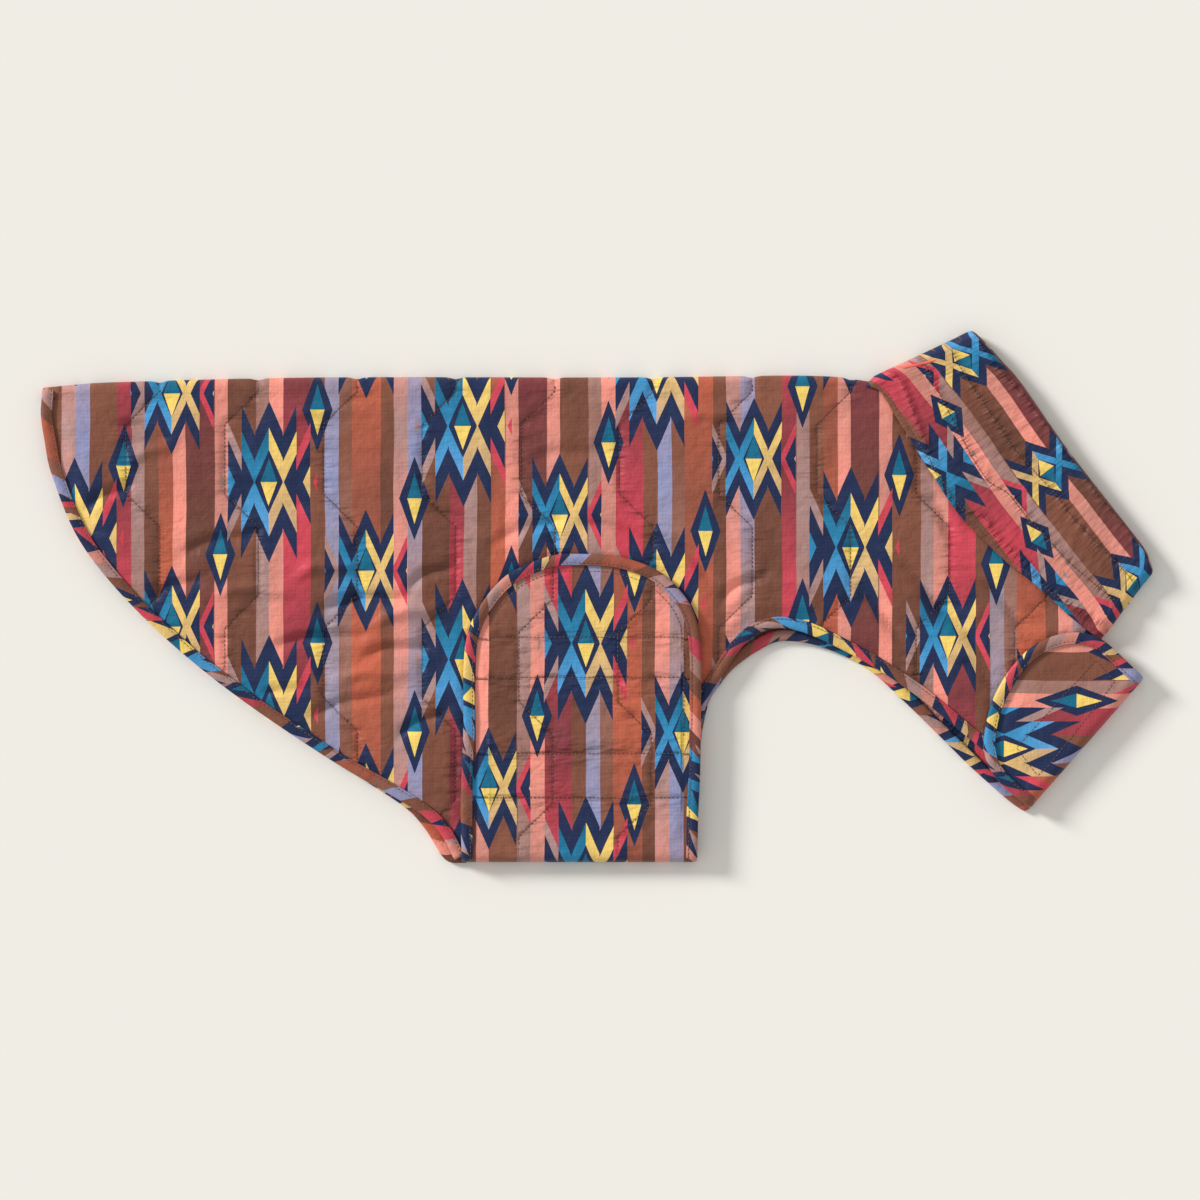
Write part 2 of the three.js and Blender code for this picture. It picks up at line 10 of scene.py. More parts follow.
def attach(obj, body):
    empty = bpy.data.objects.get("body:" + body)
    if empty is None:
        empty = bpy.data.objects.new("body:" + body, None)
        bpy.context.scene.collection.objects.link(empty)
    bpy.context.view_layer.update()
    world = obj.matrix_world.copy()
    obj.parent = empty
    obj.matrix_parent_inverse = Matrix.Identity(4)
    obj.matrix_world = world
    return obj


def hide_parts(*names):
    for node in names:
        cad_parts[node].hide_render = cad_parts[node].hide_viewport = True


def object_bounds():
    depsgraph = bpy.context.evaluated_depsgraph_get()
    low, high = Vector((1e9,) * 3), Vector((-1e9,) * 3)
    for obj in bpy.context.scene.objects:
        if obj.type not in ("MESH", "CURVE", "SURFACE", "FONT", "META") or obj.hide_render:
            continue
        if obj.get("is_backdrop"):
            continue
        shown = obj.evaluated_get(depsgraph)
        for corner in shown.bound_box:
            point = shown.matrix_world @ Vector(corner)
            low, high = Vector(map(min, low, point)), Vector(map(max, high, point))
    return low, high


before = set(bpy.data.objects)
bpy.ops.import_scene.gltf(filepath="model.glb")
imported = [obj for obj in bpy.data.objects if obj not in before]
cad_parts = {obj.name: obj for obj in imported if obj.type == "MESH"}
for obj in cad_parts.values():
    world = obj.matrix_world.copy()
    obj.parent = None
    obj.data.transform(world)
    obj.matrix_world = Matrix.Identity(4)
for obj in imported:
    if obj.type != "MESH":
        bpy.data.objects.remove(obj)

# Garment plan in millimetres: X towards the collar, Y towards the spine, as cut and laid.
MM = 0.001
CAD_LOW, CAD_HIGH = (list(corner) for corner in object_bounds())
PLAN_LOW = (-307.0, -145.0)  # the plan's lowest corner, which the frame puts at CAD_LOW
SHIFT = (CAD_LOW[0] / MM - PLAN_LOW[0], CAD_LOW[1] / MM - PLAN_LOW[1])

# Heights of the layers' outer faces and of the bindings' middles, and thickness of the cloth.
FAR_MID, NEAR_MID, FLAP_MID = 1.9, 6.0, 10.1
FAR_FACE, NEAR_FACE, FLAP_FACE, TAB_FACE = 0.1, 5.3, 9.2, 9.6
CLOTH_WALL, COLLAR_WALL = 1.0, 0.9
TURN_RADIUS = 5.5  # of the folds of the belly band and the chest strap

# Cloth in its binding: how far in from the binding's edge it ends, how far above the binding's
# middle its face lies there, and the distances over which it comes down.
EDGE_INSET, EDGE_LIFT = 2.2, 0.4
SEAT = (3, 9)

# Outlines in plan, columns X and Y.
SPINE = [(-330, 113.5), (-306, 115.8), (-290, 117.3), (-262, 119), (-152, 121.5),
         (13, 121.5), (101, 122.5), (134, 121.5), (146, 119.5), (154, 119.6), (168, 125.8),
         (184.5, 133.5), (230, 150)]
NEAR_HEM = [(-306.4, 111.6), (-307, 101), (-305, 87), (-300.5, 66.5), (-284, 29), (-251, -10),
            (-207, -48), (-152, -86), (-108, -112), (-95, -121), (-86.5, -131), (-80, -143.5)]
FAR_HEM = [(-306.4, 111.6), (-307, 101), (-305, 87), (-300.5, 66.5), (-284, 29), (-251, -10),
           (-207, -48), (-152, -86), (-128, -101), (-107, -115), (-97, -125.5), (-90, -136.5),
           (-86.5, -142), (-82, -145.1), (-73.5, -145.3)]
FLAP = [(-76, -138.7), (-76.5, -111), (-75, -69.5), (-75, -39.5), (-72.5, -18.5), (-64, -1),
        (-49, 14.5), (-27, 23.5), (-7.5, 24.5), (11, 23), (31.5, 15.5), (46, 2),
        (53, -12), (55.5, -30), (55.5, -55.5), (55, -95), (54, -117.5), (53.5, -138.7)]
NEAR_ARMHOLE = [(51, -136), (52, -105.5), (54, -80.5), (59, -56.5), (67, -42.5), (80, -24.5),
                (93, -17), (107.5, -17.5), (127.5, -25.5), (154, -40), (179, -57.5),
                (204.5, -78.5), (218, -89), (231, -91), (245, -82), (264, -61), (279, -43),
                (280, -32), (272, -23)]
FAR_ARMHOLE = [(54.4, -103.85), (54.6, -92), (56, -75), (60, -57), (67, -46), (74, -38),
               (86.5, -29), (100, -23.5), (121, -26.5), (146, -38), (167, -56.5),
               (188.5, -77.5), (201.5, -90.5), (213, -101), (223.5, -110.2)]
TAB = [(231.5, -111.5), (221, -103), (214, -94), (211, -86), (210.5, -76), (214, -59),
       (221.5, -43.5), (233, -29.5), (247, -21), (262, -18.5), (276, -23), (294.4, -39.6)]
COLLAR_FOLD = [(208.2, 143.8), (214.4, 137.6), (220, 131), (231, 118.5), (255, 84), (277, 55.5),
               (288, 41.5), (299, 27), (302, 20)]
COLLAR_HEM = [(147.6, 115.9), (152, 114.9), (155.2, 111.8), (158.2, 107), (161.4, 101.2),
              (170.5, 87), (178, 74.5), (184.6, 64.6), (191.6, 53.4), (199.8, 42.7), (207.8, 34.6),
              (224.3, 18.7), (235.3, 10.4), (247, 0.4), (255.8, -8), (261.3, -12.6), (266.5, -16.8),
              (270.5, -19.8)]
STRAP_FOLD = [(299, -43.5), (238.5, -112.5)]
BELLY_FOLD_Y = -145
BELLY_SEAM_Y = -104
STRAP_SEAM = 26  # from the chest strap's fold to its seam
NECK_SEAM = 0.68  # of the collar's fall, from its fold to its hem
SEAM_GAP = 0.2
BAND_EDGE_X = 54.4  # where the belly band's seam meets the leg's edge
PLAN_STEP = 2
FINE_STEPS = 24

# Quilting: stepped lines along the coat, and level rows where the belly band's tapes are sewn on.
CHANNEL, FIRST_LINE, LINES = 54.2, -314.5, 12
STEP_WIDTH, STEP_PERIOD, STEP_START, RUN, SLANT = 18.5, 112.0, 95.5, 38.0, 18.0
FLAP_FIRST, FLAP_LINES, FLAP_SHIFT = -98.7, 4, 114.0
TAPE_ROWS, TAPE_GAP = (-21.2, -43.2, -85.0, -109.2), 24.0
TAPE_LEFT, TAPE_RIGHT = -61, 46

# Padding: heights, the edge distances over which they grow, and the rise from a sewn line, quick
# beside the stitches and slow across the channel.
PUFF_HEIGHT, FLAP_PUFF, TAB_PUFF = 3.3, 2.0, 1.2
NEAR_SWELL, FLAP_SWELL, TAB_SWELL = (3, 16), (3, 14), (4, 16)
QUICK_SHARE, QUICK_REACH = 0.52, 2.2
SLOW_SHARE, SLOW_REACH, SLOW_POWER = 0.48, 11, 1.5

# Wrinkles of each face: height, size in plan, and where their noise starts.
NEAR_FINE, NEAR_BROAD = (0.35, 7, 3.1), (0.5, 30, 8.4)
FLAP_FINE, FLAP_BROAD = (0.3, 7, 5.7), (0.35, 26, 1.9)
TAB_FINE, TAB_BROAD = (0.3, 8, 2.2), (0.4, 22, 6.6)
COLLAR_FINE, COLLAR_BROAD = (0.3, 12, 4.4), (0.45, 30, 9.9)
NEAR_GATHER, FLAP_GATHER = 7, 6  # reach of the fine ones from a sewn line


def run_of(line):
    """How far along a line each of its points lies."""
    return np.concatenate([[0], np.cumsum(np.linalg.norm(np.diff(line, axis=0), axis=1))])


def catmull(points, step):
    """A smooth line through points, in equal steps."""
    p = np.array(points, float)
    ends = np.vstack([2 * p[0] - p[1], p, 2 * p[-1] - p[-2]])
    fine = []
    for a, b, c, d in zip(ends, ends[1:], ends[2:], ends[3:]):
        for t in np.linspace(0, 1, FINE_STEPS, endpoint=False):
            fine.append(0.5 * (2 * b + (c - a) * t + (2 * a - 5 * b + 4 * c - d) * t**2
                               + (3 * b - a - 3 * c + d) * t**3))
    fine = np.array(fine + [p[-1]])
    run = run_of(fine)
    at = np.linspace(0, run[-1], max(2, round(run[-1] / step) + 1))
    return np.column_stack([np.interp(at, run, fine[:, i]) for i in range(fine.shape[1])])


def along(line, share):
    """Places at shares of a line's length."""
    run = run_of(line)
    at = np.asarray(share) * run[-1]
    return np.stack([np.interp(at, run, line[:, i]) for i in range(line.shape[1])], axis=-1)


def inside(points, outline):
    """Whether each point lies inside a closed outline."""
    hit = np.zeros(len(points), bool)
    x, y = points[:, 0], points[:, 1]
    for (ax, ay), (bx, by) in zip(outline, np.roll(outline, -1, axis=0)):
        if ay == by:
            continue
        crosses = (ay > y) != (by > y)
        hit ^= crosses & (x < (bx - ax) * (y - ay) / (by - ay) + ax)
    return hit


def distance(points, line):
    """Distance from each point to a finely stepped line."""
    best = np.full(len(points), np.inf)
    for spot in line:
        np.minimum(best, np.hypot(points[:, 0] - spot[0], points[:, 1] - spot[1]), out=best)
    return best


def ease(low, high, value):
    """Smooth step from 0 at low to 1 at high."""
    t = np.clip((value - low) / (high - low), 0, 1)
    return t * t * (3 - 2 * t)


def ripple(points, form):
    """Wrinkles at plan points, with the height, size and start in form."""
    height, size, start = form
    return height * np.array([noise.noise(Vector((x / size, y / size, start)))
                              for x, y in points])


def step_at(y, shift):
    """How far aside a sewn line lies at a height in plan."""
    run = np.mod(STEP_START - shift - y, STEP_PERIOD)
    corners = [0, RUN, RUN + SLANT, 2 * RUN + SLANT, STEP_PERIOD]
    return np.interp(run, corners, [0, 0, STEP_WIDTH, STEP_WIDTH, 0])


def sewn_lines(first, count, shift, high, low):
    """The stepped quilting lines as finely stepped points."""
    y = np.arange(high, low, -1.0)
    return [np.column_stack([first + i * CHANNEL + step_at(y, shift), y]) for i in range(count)]


def channels_in(points, first, shift):
    """How many channels a point lies in from the first sewn line."""
    return (points[:, 0] - step_at(points[:, 1], shift) - first) / CHANNEL


def channel(points, first, shift):
    """Share of the way across its channel, and distance from the nearest sewn line."""
    x = channels_in(points, first, shift)
    share = x - np.floor(x)
    slope = np.abs(step_at(points[:, 1] + 0.5, shift) - step_at(points[:, 1] - 0.5, shift))
    away = np.minimum(share, 1 - share) * CHANNEL / np.sqrt(1 + slope**2)
    return share, away


def puff(away):
    """Rise of the padding with the distance from a sewn line, from 0 to 1."""
    quick = 1 - np.exp(-away / QUICK_REACH)
    slow = 1 - np.exp(-(away / SLOW_REACH) ** SLOW_POWER)
    return QUICK_SHARE * quick + SLOW_SHARE * slow


def seated(z, middle, edge):
    """Brings a face down into its binding, by the distance from the edge."""
    return z + (middle + EDGE_LIFT - z) * (1 - ease(*SEAT, edge))


spine = catmull(SPINE, PLAN_STEP)
near_hem = catmull(NEAR_HEM, PLAN_STEP)
far_hem = catmull(FAR_HEM, PLAN_STEP)
flap_edge = catmull(FLAP, PLAN_STEP)
near_armhole = catmull(NEAR_ARMHOLE, PLAN_STEP)
far_armhole = catmull(FAR_ARMHOLE, PLAN_STEP)
tab_edge = catmull(TAB, PLAN_STEP)
collar_fold = catmull(COLLAR_FOLD, PLAN_STEP)
collar_hem = catmull(COLLAR_HEM, PLAN_STEP)
STRAP_START = np.array(STRAP_FOLD[0])
STRAP_LENGTH = float(np.linalg.norm(np.subtract(STRAP_FOLD[1], STRAP_FOLD[0])))
STRAP_ALONG = np.subtract(STRAP_FOLD[1], STRAP_FOLD[0]) / STRAP_LENGTH
STRAP_IN = np.array([STRAP_ALONG[1], -STRAP_ALONG[0]])


def spine_y(x):
    return np.interp(x, spine[:, 0], spine[:, 1])


def collar_spot(share, across):
    """Places in plan at shares along the collar and across its fall."""
    a = along(collar_fold, share)
    b = along(collar_hem, share)
    return a + (b - a) * np.asarray(across)[..., None]


def strap_spot(run, depth):
    """Places in plan by the length along the strap's fold and the depth in from it."""
    return STRAP_START + np.multiply.outer(run, STRAP_ALONG) + np.multiply.outer(depth, STRAP_IN)


# Soft creases, listed: where each starts and ends, its depth (minus is a trough) and width.
CREASES = [
    (-153, -6, -103, 4, -2.1, 7), (-180, -27, -128, -17, -2.0, 7), (-131, -33, -94, -23, -1.9, 7),
    (-191, -57, -160, -46, -1.5, 6), (-167, 12, -135, 21, 1.5, 8), (-106, 4, -80, 22, -1.7, 7),
    (-123, -14, -86, -2, 1.4, 8), (-160, -66, -112, -48, -1.7, 7), (-112, -78, -84, -58, -1.6, 7),
    (-146, -46, -104, -38, 1.3, 8), (-250, -3, -216, 15, -1.4, 7), (-232, 22, -186, 40, -1.5, 8),
    (-212, 2, -168, 6, 1.3, 8), (-284, 46, -258, 66, -1.3, 7), (-262, 70, -232, 90, 1.1, 8),
    (-268, 96, -226, 84, -1.2, 7), (-196, 62, -160, 52, -1.2, 8), (-100, 48, -62, 40, -1.2, 8),
    (-60, 28, -18, 48, -1.3, 8), (-14, 40, 34, 32, -1.5, 8), (36, 30, 66, 12, -1.6, 8),
    (-40, 74, 10, 84, -1.0, 10), (66, -2, 92, 17, -1.5, 7), (90, 70, 132, 58, -1.0, 9),
    (102, 10, 140, -4, 1.2, 8), (136, 9, 170, -23, -1.6, 8), (160, 20, 190, -4, -1.3, 8),
    (180, 0, 214, -30, -1.5, 8), (204, 10, 236, -14, -1.4, 7), (192, -34, 226, -52, -1.2, 7),
    (176, 60, 196, 34, -1.2, 8), (40, 96, 84, 104, 0.9, 9), (-172, 98, -128, 106, 0.9, 9),
]
CREASE_GAIN, CREASE_WIDTH = 2.0, 0.38
CREASE_BEND, CREASE_TURN = 2.5, 5.0  # how far a crease bends aside, and how quickly
CREASE_ENDS, CREASE_ROOM = (-0.15, 0.3), (4, 14)


def creased(points):
    """Height of the soft creases at plan points."""
    total = np.zeros(len(points))
    for ax, ay, bx, by, depth, width in CREASES:
        run = np.array([bx - ax, by - ay])
        length = np.hypot(*run)
        run = run / length
        rel = points - (ax, ay)
        t = rel @ run / length
        bend = CREASE_BEND * np.sin(t * CREASE_TURN)
        off = rel @ np.array([-run[1], run[0]]) - bend
        ends = ease(*CREASE_ENDS, t) * ease(*CREASE_ENDS, 1 - t)
        total += depth * np.exp(-(off / (CREASE_WIDTH * width)) ** 2) * ends
    return CREASE_GAIN * total


near_bound = np.vstack([near_hem, near_armhole])
# Outlines of what lies on the near side, where its pressing starts and ends, and the shares
# that it takes from the padding, the wrinkles and the creases.
COVERS = [np.vstack([collar_fold, collar_hem[::-1]]), flap_edge, tab_edge]
COVER_EDGE = (-3, 5)
PRESSED_PUFF, PRESSED_WRINKLES, PRESSED_CREASES = 0.45, 0.5, 0.85


def covered(points):
    """How far points of the near side lie beneath another piece, from 0 to 1."""
    most = np.zeros(len(points))
    for outline in COVERS:
        off = distance(points, outline)
        off = np.where(inside(points, outline), off, -off)
        most = np.maximum(most, ease(*COVER_EDGE, off))
    return most


def near_height(points):
    """Height of the near side's outer face."""
    _, away = channel(points, FIRST_LINE, 0)
    edge = distance(points, near_bound[::2])
    rise = PUFF_HEIGHT * puff(away) * ease(*NEAR_SWELL, edge)
    wrinkle = ripple(points, NEAR_FINE) * np.exp(-away / NEAR_GATHER) + ripple(points, NEAR_BROAD)
    cover = covered(points)
    soft = creased(points) * ease(*CREASE_ROOM, edge) * (1 - PRESSED_CREASES * cover)
    z = NEAR_FACE + rise * (1 - PRESSED_PUFF * cover)
    z = z + wrinkle * (1 - PRESSED_WRINKLES * cover) + soft
    return seated(z, NEAR_MID, edge)


# Meshes. A piece is one grid, shaped in plan and height, with the cloth's own millimetres
# in its UV map. SURFACES keeps the cloth faces that the stitches lie on.
UV_SCALE = 0.01  # of the UV map for a millimetre of cloth
MERGE = 1e-6  # metres within which vertices are one
ABOVE, WELL_ABOVE = 20, 50  # heights from which an upper face is looked for
SURFACES = {}


def in_frame(x, y, z):
    """A place of the plan in the frame's metres."""
    return Vector(((x + SHIFT[0]) * MM, (y + SHIFT[1]) * MM, z * MM))


def finish_mesh(bm, name, coat, slot, node_names=()):
    """Makes the finished piece of a shape."""
    if slot == "quilted_print":
        SURFACES[name] = BVHTree.FromBMesh(bm)
    else:
        bmesh.ops.recalc_face_normals(bm, faces=bm.faces)
    mesh = bpy.data.meshes.new(name)
    bm.to_mesh(mesh)
    bm.free()
    piece = bpy.data.objects.new(name, mesh)
    bpy.context.scene.collection.objects.link(piece)
    mesh.materials.append(coat)
    for polygon in mesh.polygons:
        polygon.use_smooth = True
    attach(piece, "root")
    if node_names:
        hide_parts(*node_names)
    return piece


def add_map(bm, name, values):
    """A UV map with a pair of values for each vertex."""
    layer = bm.loops.layers.uv.new(name)
    for face in bm.faces:
        for loop in face.loops:
            loop[layer].uv = values[loop.vert.index]


def cloth_grid(columns, rows, place):
    """A grid of cloth. place takes shares across and along, and gives points in plan with
    their heights, cloth millimetres, which points stay, and on quilted cloth how many sewn
    lines lie before each point, both ways."""
    bm = bmesh.new()
    bmesh.ops.create_grid(bm, x_segments=columns, y_segments=rows, size=1)
    bm.verts.ensure_lookup_table()
    share = np.array([(v.co.x, v.co.y) for v in bm.verts]) / 2 + 0.5
    points, cloth, keep, *seam = place(share[:, 0], share[:, 1])
    for v, spot in zip(bm.verts, points):
        v.co = in_frame(*spot)
    add_map(bm, "cloth", cloth * UV_SCALE)
    if seam:
        add_map(bm, "seam", seam[0])
    if keep is not None:
        gone = [v for v, stays in zip(bm.verts, keep) if not stays]
        bmesh.ops.delete(bm, geom=gone, context="VERTS")
    return bm


def close_tube(bm):
    """Joins a rolled grid along its seam and closes its ends."""
    bmesh.ops.remove_doubles(bm, verts=bm.verts, dist=MERGE)
    ends = [e for e in bm.edges if e.is_boundary]
    bmesh.ops.holes_fill(bm, edges=ends, sides=0)


def outward(bm, up_at):
    """Turns all faces the same way, so that the face nearest to a point looks up."""
    bmesh.ops.recalc_face_normals(bm, faces=bm.faces)
    spot = in_frame(*up_at, ABOVE)
    nearest = min(bm.faces, key=lambda f: (f.calc_center_median() - spot).length)
    if nearest.normal.z < 0:
        bmesh.ops.reverse_faces(bm, faces=bm.faces)


def make_cloth(name, size, place, up_at, coat, node_name, wall=CLOTH_WALL, ring=False):
    """A cloth piece of size columns and rows. up_at lies on its upper face in plan."""
    bm = cloth_grid(*size, place)
    if ring:
        bmesh.ops.remove_doubles(bm, verts=bm.verts, dist=MERGE)
    outward(bm, up_at)
    piece = finish_mesh(bm, name, coat, "quilted_print", [node_name])
    solid = piece.modifiers.new("cloth thickness", "SOLIDIFY")
    solid.thickness = wall * MM
    solid.offset = -1
    solid.use_even_offset = False
    return piece


def stretches(row, counts):
    """Shares of the way through a sheet's near side, fold and far side."""
    shares = []
    for count in counts:
        shares.append(np.clip(row / count, 0, 1))
        row = row - count
    return shares


def by_stretch(row, counts, near, fold, far):
    """Each point's value from the stretch that it lies in."""
    near_rows, fold_rows, _ = counts
    return np.where(row <= near_rows, near, np.where(row < near_rows + fold_rows, fold, far))


# Colours and finishes.
class Value:
    """A socket or number in a material, with the usual operators."""

    def __init__(self, coat, socket):
        self.coat, self.socket = coat, socket

    def math(self, operation, other=None):
        terms = [self] if other is None else [self, other]
        made = self.coat.node("ShaderNodeMath", {"operation": operation}, dict(enumerate(terms)))
        return Value(self.coat, made.outputs[0])

    def __add__(self, other):
        return self.math("ADD", other)

    __radd__ = __add__

    def __mul__(self, other):
        return self.math("MULTIPLY", other)

    __rmul__ = __mul__

    def __sub__(self, other):
        return self.math("SUBTRACT", other)

    def __rsub__(self, other):
        return (self * -1) + other

    def __truediv__(self, other):
        return self.math("DIVIDE", other)

    def __lt__(self, other):
        return self.math("LESS_THAN", other)

    def __gt__(self, other):
        return self.math("GREATER_THAN", other)

    def __abs__(self):
        return self.math("ABSOLUTE")

    def floor(self):
        return self.math("FLOOR")

    def part(self):
        return self.math("FRACT")


class Coat:
    """A material and its nodes."""

    def __init__(self, name):
        self.material = bpy.data.materials.new(name)
        self.material.use_nodes = True
        self.tree = self.material.node_tree
        self.tree.nodes.clear()

    def node(self, kind, settings, sockets):
        """Any node, from its type, its settings and what goes into its sockets."""
        made = self.tree.nodes.new(kind)
        for key, value in settings.items():
            if key == "stops":
                ramp = made.color_ramp
                ramp.interpolation = settings.get("steps", "LINEAR")
                while len(ramp.elements) < len(value):
                    ramp.elements.new(0.5)
                for element, (place, _) in zip(ramp.elements, value):
                    element.position = place
                for element, (_, colour) in zip(ramp.elements, value):
                    element.color = colour
            elif key != "steps":
                setattr(made, key, value)
        for key, value in sockets.items():
            target = made.inputs[key]
            value = value.socket if isinstance(value, Value) else value
            if isinstance(value, bpy.types.NodeSocket):
                self.tree.links.new(value, target)
            else:
                target.default_value = value
        return made

    def ramp(self, factor, stops, steps="LINEAR"):
        made = self.node("ShaderNodeValToRGB", {"stops": stops, "steps": steps}, {0: factor})
        return made.outputs[0]

    def mix(self, factor, a, b, blend="MIX"):
        settings = {"data_type": "RGBA", "blend_type": blend}
        made = self.node("ShaderNodeMix", settings, {0: factor, 6: a, 7: b})
        return made.outputs[2]

    def noise(self, vector, scale, detail=2.0):
        sockets = {"Vector": vector, "Scale": scale, "Detail": detail}
        return Value(self, self.node("ShaderNodeTexNoise", {}, sockets).outputs[0])

    def finish(self, sockets):
        """Ends the material in one shader."""
        shader = self.node("ShaderNodeBsdfPrincipled", {}, sockets)
        self.node("ShaderNodeOutputMaterial", {}, {0: shader.outputs[0]})
        return self.material


def paint(code):
    """A colour from its usual six digits, in linear light."""
    parts = [int(code[i:i + 2], 16) / 255 for i in (0, 2, 4)]
    linear = [p / 12.92 if p <= 0.04045 else ((p + 0.055) / 1.055) ** 2.4 for p in parts]
    return (*linear, 1.0)


NAVY, TEAL, YELLOW = "1d2a4d", "0f6684", "f2cf6a"
BLUES, GOLDS = ("5b9fd6", "2e86b4", TEAL), ("c7a27c", "dcb672", YELLOW)
FADE_STOPS = (0.3, 0.5, 0.7)
RUST, RUST_DIM = "bd5f45", "93513f"
SALMON, SALMON_DIM = "f29382", "c98577"
MAUVE, MAUVE_DIM = "aa8580", "9c6f63"
BROWN, BROWN_DIM = "85513e", "6b4233"
LAVENDER, LAVENDER_DIM = "8f92b8", "a08a90"
CRIMSON, CRIMSON_DIM = "cb4453", "7a383c"
# Stripes in their order: colour, the colour it fades to, and where along the cloth it fades.
STRIPES = [
    (BROWN, BROWN_DIM, 0.1), (BROWN, BROWN_DIM, 0.1), (MAUVE, MAUVE_DIM, 0.3),
    (SALMON, SALMON_DIM, 0.65), (CRIMSON, CRIMSON_DIM, 0.2), (CRIMSON, CRIMSON_DIM, 0.2),
    (BROWN_DIM, BROWN, 0.5), (LAVENDER, LAVENDER_DIM, 0.0), (MAUVE_DIM, BROWN, 0.4),
    (RUST, RUST_DIM, 0.6), (RUST, RUST_DIM, 0.6), (BROWN_DIM, BROWN, 0.1),
    (SALMON, MAUVE, 0.35), (LAVENDER, MAUVE, 0.9), (BROWN, BROWN_DIM, 0.75),
    (BROWN, BROWN_DIM, 0.75), (CRIMSON, CRIMSON_DIM, 0.45), (MAUVE, MAUVE_DIM, 0.05),
    (BROWN_DIM, BROWN, 0.3), (RUST_DIM, RUST, 0.85), (SALMON, SALMON_DIM, 0.15),
    (CRIMSON_DIM, BROWN_DIM, 0.7), (CRIMSON_DIM, BROWN_DIM, 0.7), (SALMON, SALMON_DIM, 0.55),
]
STRIPE = 7.6
FADE_LENGTH = 170.0
# Figures: stripes from one to the next, millimetres from one to the next along a stripe, how
# far each column drops as a share of that, and their size, with twice what every other one adds.
FIGURE_GAP, FIGURE_REPEAT, FIGURE_DROP = 7, 128.0, 0.38
FIGURE_SIZE, FIGURE_EXTRA = 0.78, 0.5
TOOTH_STEP, TOOTH = 19.0, 17.0
# Rings of a figure from the outside in: how far each reaches.
HALO, OUTER_RING, SIDE_RING, INNER_RING = 52, 43, 29, 17
CORE_HEIGHT, CORE_HALF = 13.0, 0.6
# Small lozenges between the figures: half height in millimetres, half width in stripes.
SMALL_HEIGHT, SMALL_HALF, NAVY_HEIGHT, NAVY_HALF = 14.0, 0.52, 23.0, 1.1


def striped_print(coat, x, y):
    """Fading stripes with toothed diamonds, from cloth millimetres."""
    column = x / STRIPE
    place = (column / len(STRIPES)).part()
    starts = [i / len(STRIPES) for i in range(len(STRIPES))]
    bright = coat.ramp(place, [(s, paint(c[0])) for s, c in zip(starts, STRIPES)], "CONSTANT")
    dim = coat.ramp(place, [(s, paint(c[1])) for s, c in zip(starts, STRIPES)], "CONSTANT")
    phases = [(s, (c[2], c[2], c[2], 1)) for s, c in zip(starts, STRIPES)]
    phase = Value(coat, coat.ramp(place, phases, "CONSTANT"))
    fade = abs(((y / FADE_LENGTH) + phase).part() - 0.5) * 2
    ground = coat.mix(fade, bright, dim)

    # Where a point lies in its figure: stripes aside and millimetres up from the middle.
    cell = (column / FIGURE_GAP + 0.5).floor()
    side = column - cell * FIGURE_GAP
    drop = (y / FIGURE_REPEAT + (cell * FIGURE_DROP).part()).part() - 0.5
    size = FIGURE_SIZE + (cell / 2).part() * FIGURE_EXTRA
    whole = abs(side).floor()
    across = abs(side) - whole
    slant = across * TOOTH * ((whole < 0.5) * -2 + 1)
    height = abs(drop) * FIGURE_REPEAT
    depth = (height + whole * TOOTH_STEP - slant) / size
    blue, gold = (coat.ramp(drop + 0.5, [(s, paint(c)) for s, c in zip(FADE_STOPS, codes)])
                  for codes in (BLUES, GOLDS))
    ring = coat.mix(side > 0, blue, gold)
    halo = coat.mix(side > 0, paint(MAUVE), paint(CRIMSON))

    # Lozenges half way between two columns of figures.
    between = column - (column / FIGURE_GAP).floor() * FIGURE_GAP - FIGURE_GAP / 2
    turn = (column / FIGURE_GAP).floor() * FIGURE_DROP + FIGURE_DROP / 2 + 0.5
    lift = (y / FIGURE_REPEAT + turn.part()).part() - 0.5
    small = coat.mix(lift > 0, paint(YELLOW), paint(TEAL))
    rise = abs(lift) * FIGURE_REPEAT
    ground = coat.mix(rise / NAVY_HEIGHT + abs(between) / NAVY_HALF < 1, ground, paint(NAVY))
    ground = coat.mix(rise / SMALL_HEIGHT + abs(between) / SMALL_HALF < 1, ground, small)

    colour = coat.mix((depth < HALO) * (whole > 1.5), ground, halo)
    for reach, inner in ((OUTER_RING, paint(NAVY)), (SIDE_RING, ring), (INNER_RING, paint(NAVY))):
        colour = coat.mix(depth < reach, colour, inner)
    core = height / CORE_HEIGHT + abs(side) / CORE_HALF
    heart = coat.mix(drop > 0, paint(YELLOW), paint(TEAL))
    return coat.mix(core < 1, colour, heart)


# Ripstop: millimetres between its thick threads, and their share of that.
CHECK, CHECK_LINE = 1.9, 0.16
# Sizes of the noise in turns a millimetre, and how far the stripes waver.
WAVER_SCALE, WAVER = 0.02, 2.0
THREAD_SCALE, CRUMPLE_SCALE, GATHER_SCALE = 1.6, 0.13, 0.17
GATHER_SQUEEZE = (0.3, 1.0, 1.0)
# How light the cloth is, what the check and threads add, and how much painted shade darkens the
# cloth along a seam's valley.
TONE, CHECK_TONE, THREAD_TONE, SEAM_VALLEY_SHADE = 0.95, 0.12, 0.16, 0.25
# Heights of its relief in millimetres, and how quickly seams and gathers fade away.
CHECK_RISE, THREAD_RISE, CRUMPLE_RISE, GATHER_RISE, SEAM_DIP = 0.03, 0.04, 1.3, 5.5, 1.1
GATHER_FADE, SEAM_FADE = -0.16, -0.75
SHEEN = {"Roughness": 0.5, "Sheen Weight": 0.04, "Sheen Roughness": 0.4,
         "Specular IOR Level": 0.22}


